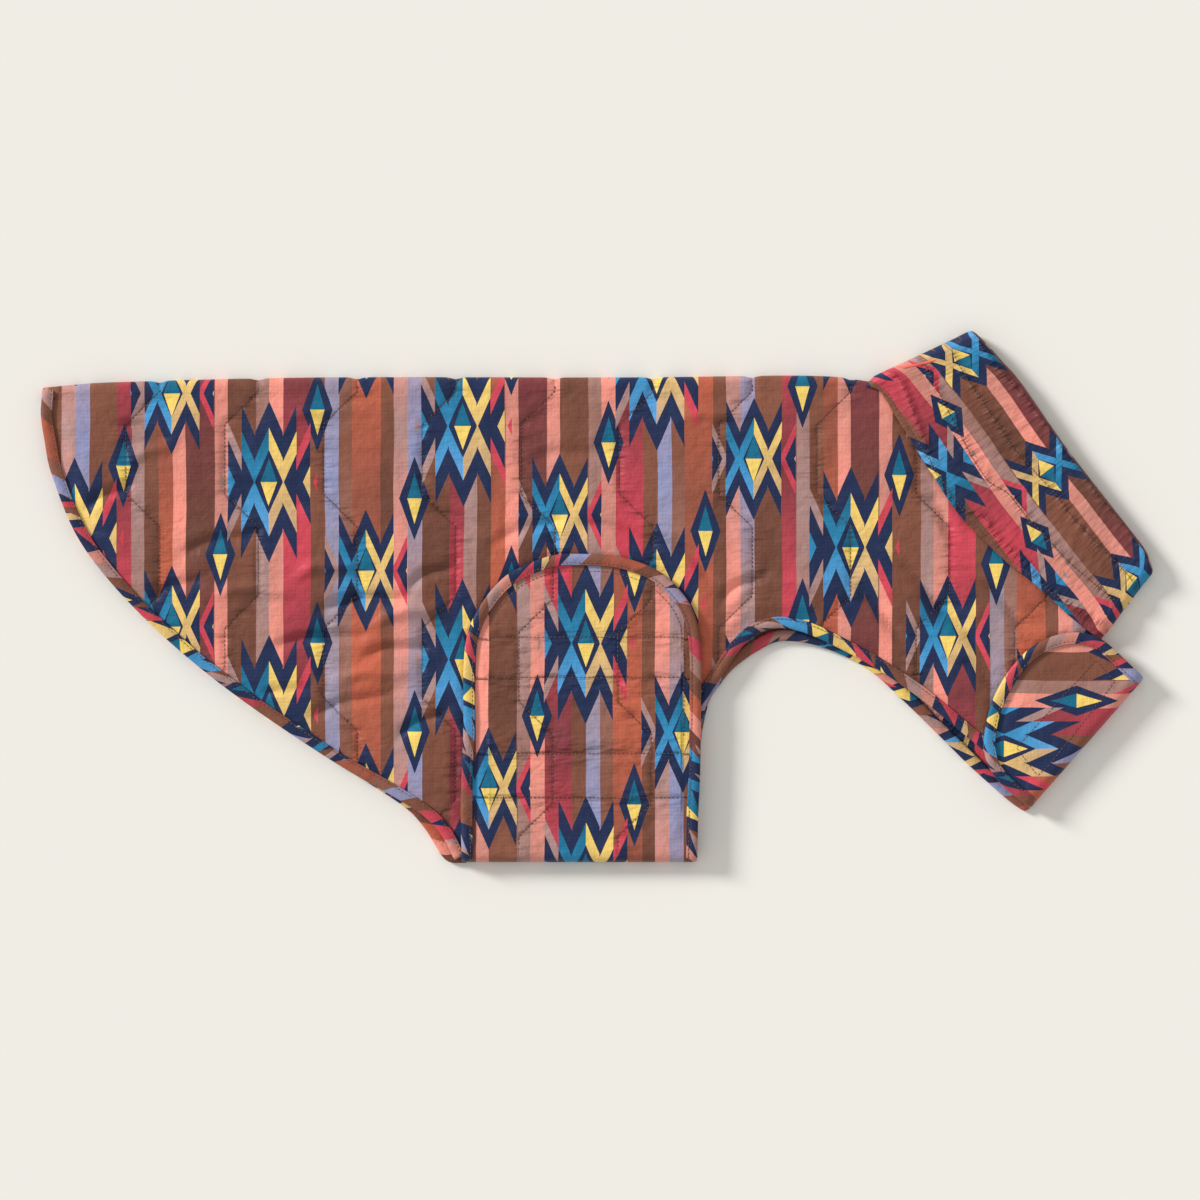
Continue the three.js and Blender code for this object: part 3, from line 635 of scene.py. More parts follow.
def off_seam(coat):
    """Millimetres from the nearest sewn line."""
    seam = coat.node("ShaderNodeUVMap", {"uv_map": "seam"}, {})
    split = coat.node("ShaderNodeSeparateXYZ", {}, {0: seam.outputs[0]})
    up = abs((Value(coat, split.outputs[0]) + 0.5).part() - 0.5) * CHANNEL
    level = abs((Value(coat, split.outputs[1]) + 0.5).part() - 0.5) * TAPE_GAP
    return up.math("MINIMUM", level)


def cloth_coat(name, offset, turn=0.0, dim=1.0, quilted=True):
    """Printed ripstop with a soft sheen. The offset in millimetres and the turn in degrees
    place the print on a piece."""
    coat = Coat(name)
    uv = coat.node("ShaderNodeUVMap", {"uv_map": "cloth"}, {})
    scale = 1 / UV_SCALE
    mapping = coat.node("ShaderNodeMapping", {}, {
        "Vector": uv.outputs[0], "Location": (*offset, 0),
        "Rotation": (0, 0, math.radians(turn)), "Scale": (scale, scale, 1)})
    place = mapping.outputs[0]
    apart = coat.node("ShaderNodeSeparateXYZ", {}, {0: place})
    x, y = (Value(coat, apart.outputs[i]) for i in (0, 1))
    waver = coat.noise(place, WAVER_SCALE) - 0.5
    colour = striped_print(coat, x + waver * WAVER, y)
    check = (x / CHECK).part() < CHECK_LINE
    check = check.math("MAXIMUM", (y / CHECK).part() < CHECK_LINE)
    threads = coat.noise(place, THREAD_SCALE, 1.0)
    tone = TONE + check * CHECK_TONE + threads * THREAD_TONE
    crumple = coat.noise(place, CRUMPLE_SCALE, 3.0)
    height = check * CHECK_RISE + threads * THREAD_RISE + crumple * CRUMPLE_RISE
    if quilted:
        away = off_seam(coat)
        near = (away * GATHER_FADE).math("EXPONENT")
        seam_dip_and_shade = (away * SEAM_FADE).math("EXPONENT")
        pull = coat.node("ShaderNodeMapping", {}, {"Vector": place, "Scale": GATHER_SQUEEZE})
        gathers = coat.noise(pull.outputs[0], GATHER_SCALE)
        height = height + gathers * near * GATHER_RISE - seam_dip_and_shade * SEAM_DIP
        # Painted shade: the cloth's colour is darkened close to each sewn line, where its valley
        # lies.
        tone = tone - seam_dip_and_shade * SEAM_VALLEY_SHADE
    grey = coat.node("ShaderNodeCombineColor", {}, {i: tone * dim for i in range(3)})
    colour = coat.mix(1.0, colour, grey.outputs[0], "MULTIPLY")
    bump = coat.node("ShaderNodeBump", {}, {"Strength": 1.0, "Distance": MM, "Height": height})
    return coat.finish({"Base Color": colour, "Normal": bump.outputs[0], **SHEEN})


TWIST_SCALE = 900.0
THREAD_DARK, THREAD_LIGHT, EDGE_SALMON, TABLE_CREAM = "4f3029", "83594c", "e8695a", "f1eee6"


def thread_coat():
    coat = Coat("sewing thread")
    place = coat.node("ShaderNodeTexCoord", {}, {})
    twist = coat.noise(place.outputs["Object"], TWIST_SCALE)
    colour = coat.ramp(twist, [(0.3, paint(THREAD_DARK)), (0.7, paint(THREAD_LIGHT))])
    return coat.finish({"Base Color": colour, "Roughness": 0.6})


def plain_coat(name, code, roughness, shine):
    return Coat(name).finish({
        "Base Color": paint(code), "Roughness": roughness, "Specular IOR Level": shine})


BODY_PRINT = cloth_coat("body print", (22.0, 18.0))
BAND_PRINT = cloth_coat("belly band print", (61.0, 40.0))
STRAP_PRINT = cloth_coat("chest strap print", (14.0, 66.0), turn=41.0, quilted=False)
COLLAR_PRINT = cloth_coat("collar print", (-16.4, 51.0), dim=0.92)
BINDING_PRINT = cloth_coat("bias binding print", (5.0, 12.0), turn=45.0, dim=0.9, quilted=False)
THREAD = thread_coat()


# Body: near side, spine fold and far side in one grid.
BODY_ROWS, BODY_COLUMNS = (122, 8, 60), 290
BODY_LEFT, BODY_WIDTH, BODY_LOW = -308, 592, -142.0
# How the spine pulls in at a sewn line, from where on, and how far below it its height is taken.
SPINE_DIP, DIP_WIDTH, DIP_LEFT, SPINE_IN = 1.1, 3.0, -285, 4
# The spine's fold: over what distance the near side rises to it, from where on it is kept, how
# far below it the near side has to go on, and its slack.
FOLD_BLEND, FOLD_LEFT, FOLD_DEPTH, FOLD_SLACK = 5, -303, 6, 1
# The far side's dips between the padding, and its lift over the chest strap's seam.
FAR_DIP, FAR_BLEND = 0.9, 12
SEAM_LIFT, SEAM_OUTER, SEAM_INNER = 1.1, 7, 1
# Corners of the near and far sides, and how far lines go on past them.
CROWN, THROAT, FAR_THROAT = (-306.5, 140), (272, -11), (277, -24)
NECK_POINTS, NECK_ON, SEAM_ON = 60, 30, 14
CHEST_RIGHT, STRAP_TUCK = 212, 5


def neck_line(across):
    """The line along the collar at a share across its fall."""
    return collar_spot(np.linspace(0, 1, NECK_POINTS), np.full(NECK_POINTS, across))


def body_keep(points, row, start):
    """Which points lie within the near side, the fold and the far side."""
    neck = neck_line(NECK_SEAM)
    crown = [CROWN, neck[0] + (neck[0] - neck[1]) * NECK_ON]
    near_outline = np.vstack([near_hem[::-1], crown, neck, [THROAT], near_armhole[::-1]])
    seam = np.argmax(far_hem[:, 1] < BELLY_SEAM_Y)
    far_chest = far_armhole[far_armhole[:, 0] < CHEST_RIGHT]
    tuck = STRAP_SEAM - STRAP_TUCK
    far_outline = np.vstack([
        [(far_hem[seam, 0], BELLY_SEAM_Y)], far_hem[:seam][::-1], crown, neck,
        [THROAT, FAR_THROAT], strap_spot([0, STRAP_LENGTH + SEAM_ON], [tuck, tuck]),
        far_chest[::-1], [(BAND_EDGE_X, BELLY_SEAM_Y)]])
    near_keep = inside(points, near_outline) & (distance(points, near_bound) > EDGE_INSET)
    far_bound = np.vstack([far_hem, far_armhole])
    far_keep = inside(points, far_outline) & (distance(points, far_bound) > EDGE_INSET)
    near_rows, fold_rows, _ = BODY_ROWS
    keep = np.where(row <= near_rows + fold_rows / 2, near_keep, far_keep)
    in_fold = (row > near_rows) & (row < near_rows + fold_rows)
    folded = (points[:, 1] > start - FOLD_SLACK) & (points[:, 0] > FOLD_LEFT)
    return keep | (folded & in_fold & inside(points - [0, FOLD_DEPTH], near_outline))


def body_place(u, v):
    """The body's cloth, v running from the near side's lower edge over the spine to the far's."""
    x = BODY_LEFT + BODY_WIDTH * u
    row = v * sum(BODY_ROWS)
    near_t, fold_t, far_t = stretches(row, BODY_ROWS)
    top = spine_y(x)
    _, off_line = channel(np.column_stack([x, top]), FIRST_LINE, 0)
    top = top - SPINE_DIP * np.exp(-(off_line / DIP_WIDTH) ** 2) * (x > DIP_LEFT)
    top_height = near_height(np.column_stack([x, top - SPINE_IN]))
    radius = top_height / 2
    start = top - radius
    y = by_stretch(row, BODY_ROWS, BODY_LOW + (start - BODY_LOW) * near_t,
                   start + radius * np.sin(np.pi * fold_t), start - (start - BODY_LOW) * far_t)
    points = np.column_stack([x, y])
    near_z = near_height(points)
    near_z = near_z + (top_height - near_z) * ease(FOLD_BLEND, 0, start - y)
    fold_z = radius + radius * np.cos(np.pi * fold_t)
    _, away = channel(points, FIRST_LINE, 0)
    far_z = FAR_FACE + FAR_DIP * (1 - puff(away)) * ease(0, FAR_BLEND, start - y)
    runs = np.arange(0, STRAP_LENGTH + SEAM_ON, PLAN_STEP)
    strap_seam = strap_spot(runs, np.full(len(runs), STRAP_SEAM))
    lifted = SEAM_LIFT * ease(SEAM_OUTER, SEAM_INNER, distance(points, strap_seam))
    far_z = np.maximum(far_z, FAR_FACE + lifted)
    z = by_stretch(row, BODY_ROWS, near_z, fold_z, far_z)
    cloth_y = by_stretch(row, BODY_ROWS, y, start + radius * np.pi * fold_t, 2 * top - y)
    keep = body_keep(points, row, start)
    lines = np.column_stack([channels_in(points, FIRST_LINE, 0), np.full(len(x), 0.5)])
    return np.column_stack([points, z]), np.column_stack([x, cloth_y]), keep, lines


# Belly band and its round end: near side, fold and far side in one grid.
BAND_ROWS, BAND_COLUMNS = (84, 10, 14), 86
BAND_LEFT, BAND_WIDTH, BAND_TOP = -112, 170, 26
# How far within the belly line the cloth turns, over what distance the band's near side rises
# to its fold, how low its outlines go on, and the points of the far hem that lie in the fold.
FOLD_ROOM, BAND_BLEND, BELOW_BELLY, TURN_POINTS = 0.3, 9, -160, 4
# Its ends in plan: those of the fold, and the far side's at the leg.
TURN_LEFT, TURN_RIGHT, BAND_RIGHT = -73.8, 51.3, 52.2
# Rows of tape stitches by their place in plan, and the count that is half way between two.
TAPE_PLACES, TAPE_COUNTS = (-121, *TAPE_ROWS[::-1], -9), (3.5, 3, 2, 1, 0, -0.5)
BETWEEN_TAPES = 3.5


def flap_height(points):
    """Height of the belly band's outer face."""
    _, away = channel(points, FLAP_FIRST, FLAP_SHIFT)
    edge = distance(points, flap_edge)
    rows = np.min([np.abs(points[:, 1] - y) for y in TAPE_ROWS], axis=0)
    sewn = (points[:, 0] > TAPE_LEFT) & (points[:, 0] < TAPE_RIGHT)
    away = np.minimum(away, np.where(sewn, rows, away))
    rise = FLAP_PUFF * puff(away) * ease(*FLAP_SWELL, edge)
    wrinkle = ripple(points, FLAP_FINE) * np.exp(-away / FLAP_GATHER) + ripple(points, FLAP_BROAD)
    return seated(FLAP_FACE + rise + wrinkle, FLAP_MID, edge)


def band_place(u, v):
    """The belly band's cloth, v running from its round end round the belly line to its seam."""
    x = BAND_LEFT + BAND_WIDTH * u
    row = v * sum(BAND_ROWS)
    near_t, fold_t, far_t = stretches(row, BAND_ROWS)
    radius = TURN_RADIUS
    start = BELLY_FOLD_Y + radius + FOLD_ROOM
    y = by_stretch(row, BAND_ROWS, BAND_TOP - (BAND_TOP - start) * near_t,
                   start - radius * np.sin(np.pi * fold_t),
                   start + (BELLY_SEAM_Y - start) * far_t)
    points = np.column_stack([x, y])
    near_z = flap_height(points)
    near_z = near_z + (2 * radius - near_z) * ease(BAND_BLEND, 0, y - start)
    fold_z = radius + radius * np.cos(np.pi * fold_t)
    z = by_stretch(row, BAND_ROWS, near_z, fold_z, FAR_FACE)
    cloth_y = by_stretch(row, BAND_ROWS, y, start - radius * np.pi * fold_t,
                         start - radius * np.pi - (y - start))
    left, right = FLAP[0], FLAP[-1]
    near_outline = np.vstack([flap_edge, [(right[0], BELOW_BELLY), (left[0], BELOW_BELLY)]])
    seam = np.argmax(far_hem[:, 1] < BELLY_SEAM_Y)
    seam_y = BELLY_SEAM_Y + SEAM_GAP
    far_outline = np.vstack([
        [(far_hem[seam, 0], seam_y)], far_hem[seam:-TURN_POINTS],
        [(left[0] - 1, BELOW_BELLY), (right[0], BELOW_BELLY), right, (BAND_EDGE_X, seam_y)]])
    near_keep = inside(points, near_outline) & (distance(points, flap_edge) > EDGE_INSET)
    fold_keep = (x > TURN_LEFT) & (x < TURN_RIGHT)
    far_keep = inside(points, far_outline) & (distance(points, far_hem) > EDGE_INSET)
    keep = by_stretch(row, BAND_ROWS, near_keep, fold_keep, far_keep & (x < BAND_RIGHT))
    level = np.interp(y, TAPE_PLACES, TAPE_COUNTS)
    level = np.where((x > TAPE_LEFT) & (x < TAPE_RIGHT), level, np.floor(level) + 0.5)
    level = np.where(row <= BAND_ROWS[0], level, BETWEEN_TAPES)
    lines = np.column_stack([channels_in(points, FLAP_FIRST, FLAP_SHIFT), level])
    return np.column_stack([points, z]), np.column_stack([x, cloth_y]), keep, lines


# Chest strap and its round end, folded round the front of the chest.
STRAP_ROWS, STRAP_COLUMNS = (44, 10, 12), 60
# How far its grid starts before the chest line, how much longer it is, and how deep it reaches.
STRAP_ON, STRAP_SPAN, TAB_DEPTH = 16, 34, 70
# How far its outlines go on past the chest line, over what distance the near side rises to the
# fold, the fold's inset at its ends, and where the far leg's edge joins the outline.
STRAP_OUT, STRAP_BLEND, TURN_INSET, LOWER_LEFT = 14, 8, 2.3, 208
CHEST_CORNER, STRAP_CORNER = (224, -109), (283, -29)


def tab_height(points):
    """Height of the chest strap's outer face."""
    edge = distance(points, tab_edge)
    wrinkle = ripple(points, TAB_FINE) + ripple(points, TAB_BROAD)
    return seated(TAB_FACE + TAB_PUFF * ease(*TAB_SWELL, edge) + wrinkle, FLAP_MID, edge)


def strap_place(u, v):
    """The chest strap's cloth, v running from its round end round the chest to its seam."""
    run = -STRAP_ON + (STRAP_LENGTH + STRAP_SPAN) * u
    row = v * sum(STRAP_ROWS)
    near_t, fold_t, far_t = stretches(row, STRAP_ROWS)
    radius = TURN_RADIUS
    depth = by_stretch(row, STRAP_ROWS, TAB_DEPTH + (radius - TAB_DEPTH) * near_t,
                       radius - radius * np.sin(np.pi * fold_t),
                       radius + (STRAP_SEAM - radius) * far_t)
    points = STRAP_START + run[:, None] * STRAP_ALONG + depth[:, None] * STRAP_IN
    near_z = tab_height(points)
    near_z = near_z + (2 * radius - near_z) * ease(STRAP_BLEND, 0, depth - radius)
    fold_z = radius + radius * np.cos(np.pi * fold_t)
    z = by_stretch(row, STRAP_ROWS, near_z, fold_z, FAR_FACE)
    cloth = by_stretch(row, STRAP_ROWS, depth, radius - radius * np.pi * fold_t,
                       radius - radius * np.pi - (depth - radius))
    low, high = tab_edge[0], tab_edge[-1]
    out = -STRAP_IN * STRAP_OUT
    near_outline = np.vstack([tab_edge, [high + out, low + out]])
    lower = far_armhole[far_armhole[:, 0] > LOWER_LEFT]
    seam = STRAP_SEAM + SEAM_GAP
    far_outline = np.vstack([
        strap_spot([STRAP_LENGTH + STRAP_ON], [seam]), lower,
        [low, low + out, high + out, high, STRAP_CORNER], strap_spot([0], [seam])])
    near_keep = inside(points, near_outline) & (distance(points, tab_edge) > EDGE_INSET)
    far_keep = inside(points, far_outline)
    for line in (far_armhole, catmull([CHEST_CORNER, TAB[0]], PLAN_STEP),
                 catmull([TAB[-1], STRAP_CORNER], PLAN_STEP)):
        far_keep &= distance(points, line) > EDGE_INSET
    first = float((high - STRAP_START) @ STRAP_ALONG)
    last = float((low - STRAP_START) @ STRAP_ALONG)
    fold_keep = (run > first + TURN_INSET) & (run < last - TURN_INSET)
    keep = by_stretch(row, STRAP_ROWS, near_keep, fold_keep, far_keep)
    return np.column_stack([points, z]), np.column_stack([run, cloth]), keep


# Collar: a flattened ring with a stand and a fall. Its heights from the ring's middle are given
# for the near and the far side, of the stand's inner face and the fall's outer face. Next come
# its columns on the near side, round an end and on the far side, and its rows.
RING_MIDDLE = 3.7
STAND_IN, FALL_OUT = (0.7, 0.7), (6.9, 3.6)
COLLAR_NEAR, COLLAR_TURN, COLLAR_FAR, COLLAR_ROWS = 150, 10, 60, 70
STAND_SHARE, TURN_SHARE, FALL_SHARE, FALL_FROM = 0.2, 0.16, 0.64, 0.36
FALL_WIDTH, FALL_BLEND, SAG = 62.0, 0.15, 2.2
# The hem's padding: its height at the edge, where it grows, and the dip of its stitches.
HEM_PUFF, HEM_SWELL, HEM_SEWN, HEM_DIP = 0.35, (1.5, 9), 2.6, 0.5
# The ring's ends: the share of its length that gives their direction, the nape's taper towards
# the hem, and the hem's tuck at the throat by shares along and across.
END_SHARE, NAPE_TAPER, NAPE_FROM = 0.05, 0.45, 0.86
THROAT_TUCK, TUCK_ALONG, TUCK_ACROSS = 0.6, 0.9, 0.75
NAPE_TURN = math.pi + 0.01  # past this turn the cloth lies round the nape's end
# Millimetres of cloth along one side and round an end, and where the stand's print starts.
SIDE_CLOTH, END_CLOTH, STAND_CLOTH = 270, 12, 8
# The collar's two quilting lines in plan, from the nape to the throat.
COLLAR_QUILT = (
    [(196.9, 127.3), (226.1, 84.4), (238.2, 70.1), (243.7, 64.1), (256.3, 49.2), (261.3, 42.1),
     (284.9, 17.9), (298.1, 2.5)],
    [(179.3, 126.8), (199.1, 87.2), (212.3, 65.2), (223.3, 58.6), (232.1, 47.6), (256.3, 21.2),
     (273.9, 5.8)],
)
RAY_POINTS, SMOOTHING = 80, 5
COLLAR_SHARES = np.linspace(0, 1, 100)


def collar_seam(line):
    """How far across the fall a quilting line lies, for even shares along the collar."""
    fine = catmull(line, 1.0)
    found = []
    for share in COLLAR_SHARES:
        ray = collar_spot(np.full(RAY_POINTS, share), np.linspace(0, 1, RAY_POINTS))
        gaps = np.hypot(ray[:, None, 0] - fine[None, :, 0], ray[:, None, 1] - fine[None, :, 1])
        found.append(np.argmin(gaps.min(axis=1)) / (RAY_POINTS - 1))
    padded = np.pad(found, SMOOTHING // 2, mode="edge")
    return np.convolve(padded, np.ones(SMOOTHING) / SMOOTHING, "valid")


COLLAR_SEAMS = [collar_seam(line) for line in COLLAR_QUILT]


def collar_rise(share, across):
    """Rise of the fall's padding between its sewn lines, from 0 to 1."""
    away = np.min([np.abs(across - np.interp(share, COLLAR_SHARES, line)) * FALL_WIDTH
                   for line in COLLAR_SEAMS], axis=0)
    hem = (1 - across) * FALL_WIDTH
    top = HEM_PUFF + (1 - HEM_PUFF) * ease(*HEM_SWELL, hem)
    return puff(away) * top * (1 - HEM_DIP * np.exp(-(hem - HEM_SEWN) ** 2))


def collar_place(u, v):
    """u runs round the ring, v from the neck seam up the stand, round the fold, to the hem."""
    corners = np.cumsum([0, COLLAR_NEAR, COLLAR_TURN, COLLAR_FAR, COLLAR_TURN])
    loop = u * corners[-1]
    share = np.interp(loop, corners, [0, 1, 1, 0, 0])
    turn = np.interp(loop, corners, [0, 0, np.pi, np.pi, 2 * np.pi])
    part = (1 - np.cos(turn)) / 2
    inner = STAND_IN[0] * (1 - part) + STAND_IN[1] * part
    outer = FALL_OUT[0] * (1 - part) + FALL_OUT[1] * part
    bend = (outer - inner) / 2
    width = np.linalg.norm(collar_spot(share, np.zeros_like(share))
                           - collar_spot(share, np.ones_like(share)), axis=1)
    bend_at = bend / width
    on_stand = v <= STAND_SHARE
    stand_t = np.clip(v / STAND_SHARE, 0, 1)
    fold_t = np.clip((v - STAND_SHARE) / TURN_SHARE, 0, 1)
    fall_t = np.clip((v - FALL_FROM) / FALL_SHARE, 0, 1)
    across = np.where(on_stand, NECK_SEAM + (bend_at - NECK_SEAM) * stand_t,
                      bend_at * (1 - np.sin(np.pi * fold_t)))
    across = np.where(v > FALL_FROM, bend_at + (1 - bend_at) * fall_t, across)
    facing = np.clip(np.cos(turn), 0, 1)
    rise = collar_rise(share, across)
    spot = collar_spot(share, across)
    wave = ripple(spot, COLLAR_FINE) + ripple(spot, COLLAR_BROAD)
    sag = SAG * (1 - rise) * facing - wave * facing
    turned = (inner + outer) / 2 - bend * np.cos(np.pi * fold_t)
    fallen = outer - sag * ease(0, FALL_BLEND, fall_t)
    out = np.where(on_stand, inner, np.where(v < FALL_FROM, turned, fallen))
    ahead = (collar_spot(np.clip(share + END_SHARE, 0, 1), across)
             - collar_spot(np.clip(share - END_SHARE, 0, 1), across))
    ahead /= np.linalg.norm(ahead, axis=1)[:, None]
    tapered = out * (1 - NAPE_TAPER * ease(NAPE_FROM, 1, across))
    reach = np.where(turn > NAPE_TURN, tapered, out)
    plan = spot + ahead * (reach * np.sin(turn))[:, None]
    tuck = ease(TUCK_ALONG, 1, share) * ease(TUCK_ACROSS, 1, across) * facing
    z = RING_MIDDLE + out * np.cos(turn) - THROAT_TUCK * tuck
    whole = SIDE_CLOTH + END_CLOTH
    cloth_along = np.where(loop < corners[2] + 0.5,
                           np.interp(loop, corners[:3], [0, SIDE_CLOTH, whole]),
                           np.interp(loop, corners[2:], [-whole, -END_CLOTH, 0]))
    cloth_across = np.where(on_stand, -across * width - STAND_CLOTH, across * width)
    first, second = (np.interp(share, COLLAR_SHARES, line) for line in COLLAR_SEAMS)
    lines = np.column_stack([(across - first) / (second - first), np.full(len(share), 0.5)])
    return np.column_stack([plan, z]), np.column_stack([cloth_across, cloth_along]), None, lines


# Bias bindings. An edge is a list of stations: place, outward normal of the cloth there.
WRAP_STEPS = 9


def flat_run(points, z, up):
    """Stations of an edge that lies flat at one height."""
    return [((x, y, z), (0, 0, up)) for x, y in points]


def wrap_run(a, b, away):
    """Stations of half a turn round a fold, between two layers."""
    a, b, away = (np.array(p, float) for p in (a, b, away))
    rise = b[2] - a[2]
    stations = []
    for i in range(1, WRAP_STEPS):
        angle = math.pi * i / WRAP_STEPS
        spot = a + (b - a) * (1 - math.cos(angle)) / 2 + away * abs(rise) / 2 * math.sin(angle)
        up = -math.copysign(1, rise) * math.cos(angle)
        normal = away * math.sin(angle) + np.array([0, 0, up])
        stations.append((tuple(spot), tuple(normal)))
    return stations


# Section of a binding: depth in from its edge, and height above its middle.
BINDING_PROFILE = [
    (6.4, 0.75), (6.35, 1.25), (5.9, 1.62), (5.1, 1.28), (4.3, 1.7), (3.0, 1.95), (1.6, 1.85),
    (0.6, 1.4), (0.05, 0.7), (0.05, -0.7), (0.6, -1.4), (1.6, -1.85), (3.0, -1.9), (5.1, -1.6),
    (6.35, -1.3), (6.4, -0.8), (2.0, -0.5), (2.0, 0.5),
]
# Its waves: the share of its height or the millimetres of its lip, their length, and where
# the lip starts.
WALL_WAVE, WALL_LENGTH = 0.16, 9
LIP_WAVE, LIP_LENGTH, LIP_FROM = 0.35, 24, 4
LIP_SEED, PRINT_STEP = 5, 31
LOWEST = 0.05


def edge_frames(stations, side):
    """Places, normals, directions into the cloth and lengths along an edge."""
    spots = np.array([s for s, _ in stations], float)
    normals = np.array([n for _, n in stations], float)
    ahead = np.gradient(spots, axis=0)
    ahead /= np.linalg.norm(ahead, axis=1)[:, None]
    inward = side * np.cross(normals, ahead)
    inward /= np.linalg.norm(inward, axis=1)[:, None]
    return spots, normals, inward, run_of(spots)


def make_binding(name, stations, side, node_name, seed):
    spots, normals, inward, run = edge_frames(stations, side)
    profile = np.array(BINDING_PROFILE + BINDING_PROFILE[:1])
    girth = run_of(profile)

    def place(u, v):
        i = np.rint(u * (len(spots) - 1)).astype(int)
        j = np.rint(v * (len(profile) - 1)).astype(int)
        depth, height = profile[j, 0], profile[j, 1]
        lap = 2 * np.pi * girth[j] / girth[-1]
        wave = np.array([noise.noise(Vector((run[k] / WALL_LENGTH, math.cos(a) + seed,
                                             math.sin(a)))) for k, a in zip(i, lap)])
        slow = np.array([noise.noise(Vector((run[k] / LIP_LENGTH, 0, seed + LIP_SEED)))
                         for k in i])
        depth = depth + LIP_WAVE * slow * (depth > LIP_FROM)
        height = height * (1 + WALL_WAVE * wave)
        points = spots[i] + inward[i] * depth[:, None] + normals[i] * height[:, None]
        points[:, 2] = np.maximum(points[:, 2], LOWEST)
        cloth = np.column_stack([run[i] + seed * PRINT_STEP, girth[j]])
        return points, cloth, None

    bm = cloth_grid(len(spots) - 1, len(profile) - 1, place)
    close_tube(bm)
    return finish_mesh(bm, name, BINDING_PRINT, "bias_binding", [node_name])


def hem_stations():
    near = flat_run(near_hem[::-1], NEAR_MID, 1)
    far = flat_run(far_hem, FAR_MID, -1)
    return near + wrap_run(near[-1][0], far[0][0], (0, 1, 0)) + far


# The belly band's edge from its fold to its seam, and the far leg's edge round the chest corner.
BAND_SEAM_END = [(53.7, -125), (54.4, -104.15)]
CHEST_TURN = [(230.2, -115.2), (233.4, -116.7), (236.2, -115.4)]


def band_stations():
    flap = flat_run(flap_edge, FLAP_MID, 1)
    left = (*flap_edge[0], FAR_MID)
    right = (*flap_edge[-1], FAR_MID)
    down = flat_run(catmull([flap_edge[-1], *BAND_SEAM_END], PLAN_STEP), FAR_MID, -1)
    south = (0, -1, 0)
    return ([(left, (0, 0, -1))] + wrap_run(left, flap[0][0], south) + flap
            + wrap_run(flap[-1][0], right, south) + down)


def strap_stations():
    tab = flat_run(tab_edge, FLAP_MID, 1)
    away = (-STRAP_IN[0], -STRAP_IN[1], 0)
    low = (*tab_edge[0], FAR_MID)
    high = (*tab_edge[-1], FAR_MID)
    back = flat_run(catmull([tab_edge[-1], STRAP_CORNER], PLAN_STEP), FAR_MID, -1)
    return ([(low, (0, 0, -1))] + wrap_run(low, tab[0][0], away) + tab
            + wrap_run(tab[-1][0], high, away) + back)


far_leg = catmull(FAR_ARMHOLE + CHEST_TURN, 1)
# Each binding: its stations, on which side the cloth lies, its node, and its noise.
EDGES = {
    "hem_binding": (hem_stations(), -1, "binding_hem", 1.0),
    "near_leg_binding": (flat_run(near_armhole, NEAR_MID, 1), 1, "binding_armhole_near", 2.0),
    "far_leg_binding": (flat_run(far_leg, FAR_MID, -1), -1, "binding_armhole_far", 3.0),
    "belly_band_binding": (band_stations(), -1, "binding_belly_band", 4.0),
    "chest_strap_binding": (strap_stations(), -1, "binding_chest_strap", 5.0),
}


# Stitches: small rounded bars along the sewn lines, with their half sizes along, across and up.
STITCH = 2.3  # from one to the next
STITCH_SIZE = (0.95, 0.23, 0.24)
STITCH_LIFT, STITCH_LOOK = 0.12, 0.8  # above the cloth, and either way for a stitch's direction
SHORTEST = 6  # points in the shortest stretch that is sewn


def add_stitches(bm, spots, normals):
    """One stitch every STITCH along a line of places with their surface normals."""
    run = run_of(spots)
    for s in np.arange(STITCH / 2, run[-1], STITCH):
        spot, before, after = (Vector([np.interp(t, run, spots[:, i]) for i in range(3)])
                               for t in (s, s - STITCH_LOOK, s + STITCH_LOOK))
        normal = Vector([np.interp(s, run, normals[:, i]) for i in range(3)]).normalized()
        ahead = (after - before).normalized()
        across = normal.cross(ahead).normalized()
        up = ahead.cross(across)
        turn = Matrix((ahead, across, up)).transposed().to_4x4()
        size = Matrix.Diagonal((*STITCH_SIZE, 1))
        spot = (spot + up * STITCH_LIFT + Vector((*SHIFT, 0))) * MM
        matrix = Matrix.Translation(spot) @ turn @ Matrix.Diagonal((MM, MM, MM, 1)) @ size
        bmesh.ops.create_icosphere(bm, subdivisions=1, radius=1, matrix=matrix)


def on_face(line, name):
    """Places and normals of a plan line on the upper face of a cloth piece."""
    spots, normals = [], []
    for x, y in line:
        above = in_frame(x, y, WELL_ABOVE)
        place, normal, _, _ = SURFACES[name].ray_cast(above, Vector((0, 0, -1)))
        if place is not None:
            spots.append((x, y, place.z / MM))
            normals.append(normal)
    return np.array(spots), np.array(normals)


def inside_runs(line, outline, edges, room):
    """The stretches of a line inside an outline, clear of its edges."""
    ok = inside(line, outline) & (distance(line, edges) > room)
    runs, start = [], None
    for i, good in enumerate(list(ok) + [False]):
        if good and start is None:
            start = i
        elif not good and start is not None:
            if i - start > SHORTEST:
                runs.append(line[start:i])
            start = None
    return runs


def make_stitches(name, lines, cloth_name):
    """Stitches along plan lines on a cloth piece."""
    bm = bmesh.new()
    for line in lines:
        add_stitches(bm, *on_face(line, cloth_name))
    return finish_mesh(bm, name, THREAD, "bias_binding")


# The body's stitched field: its corner at the tail, its ends along the spine, its top and
# bottom, its edge at the neck as a share across the collar, and its room at the bindings.
SEWN_CORNER, SEWN_LEFT, SEWN_RIGHT = (-306.5, 118), -300, 148
SEWN_TOP, SEWN_LOW, SEWN_NECK, SEWN_ROOM = 118, -130, 1.03, 7


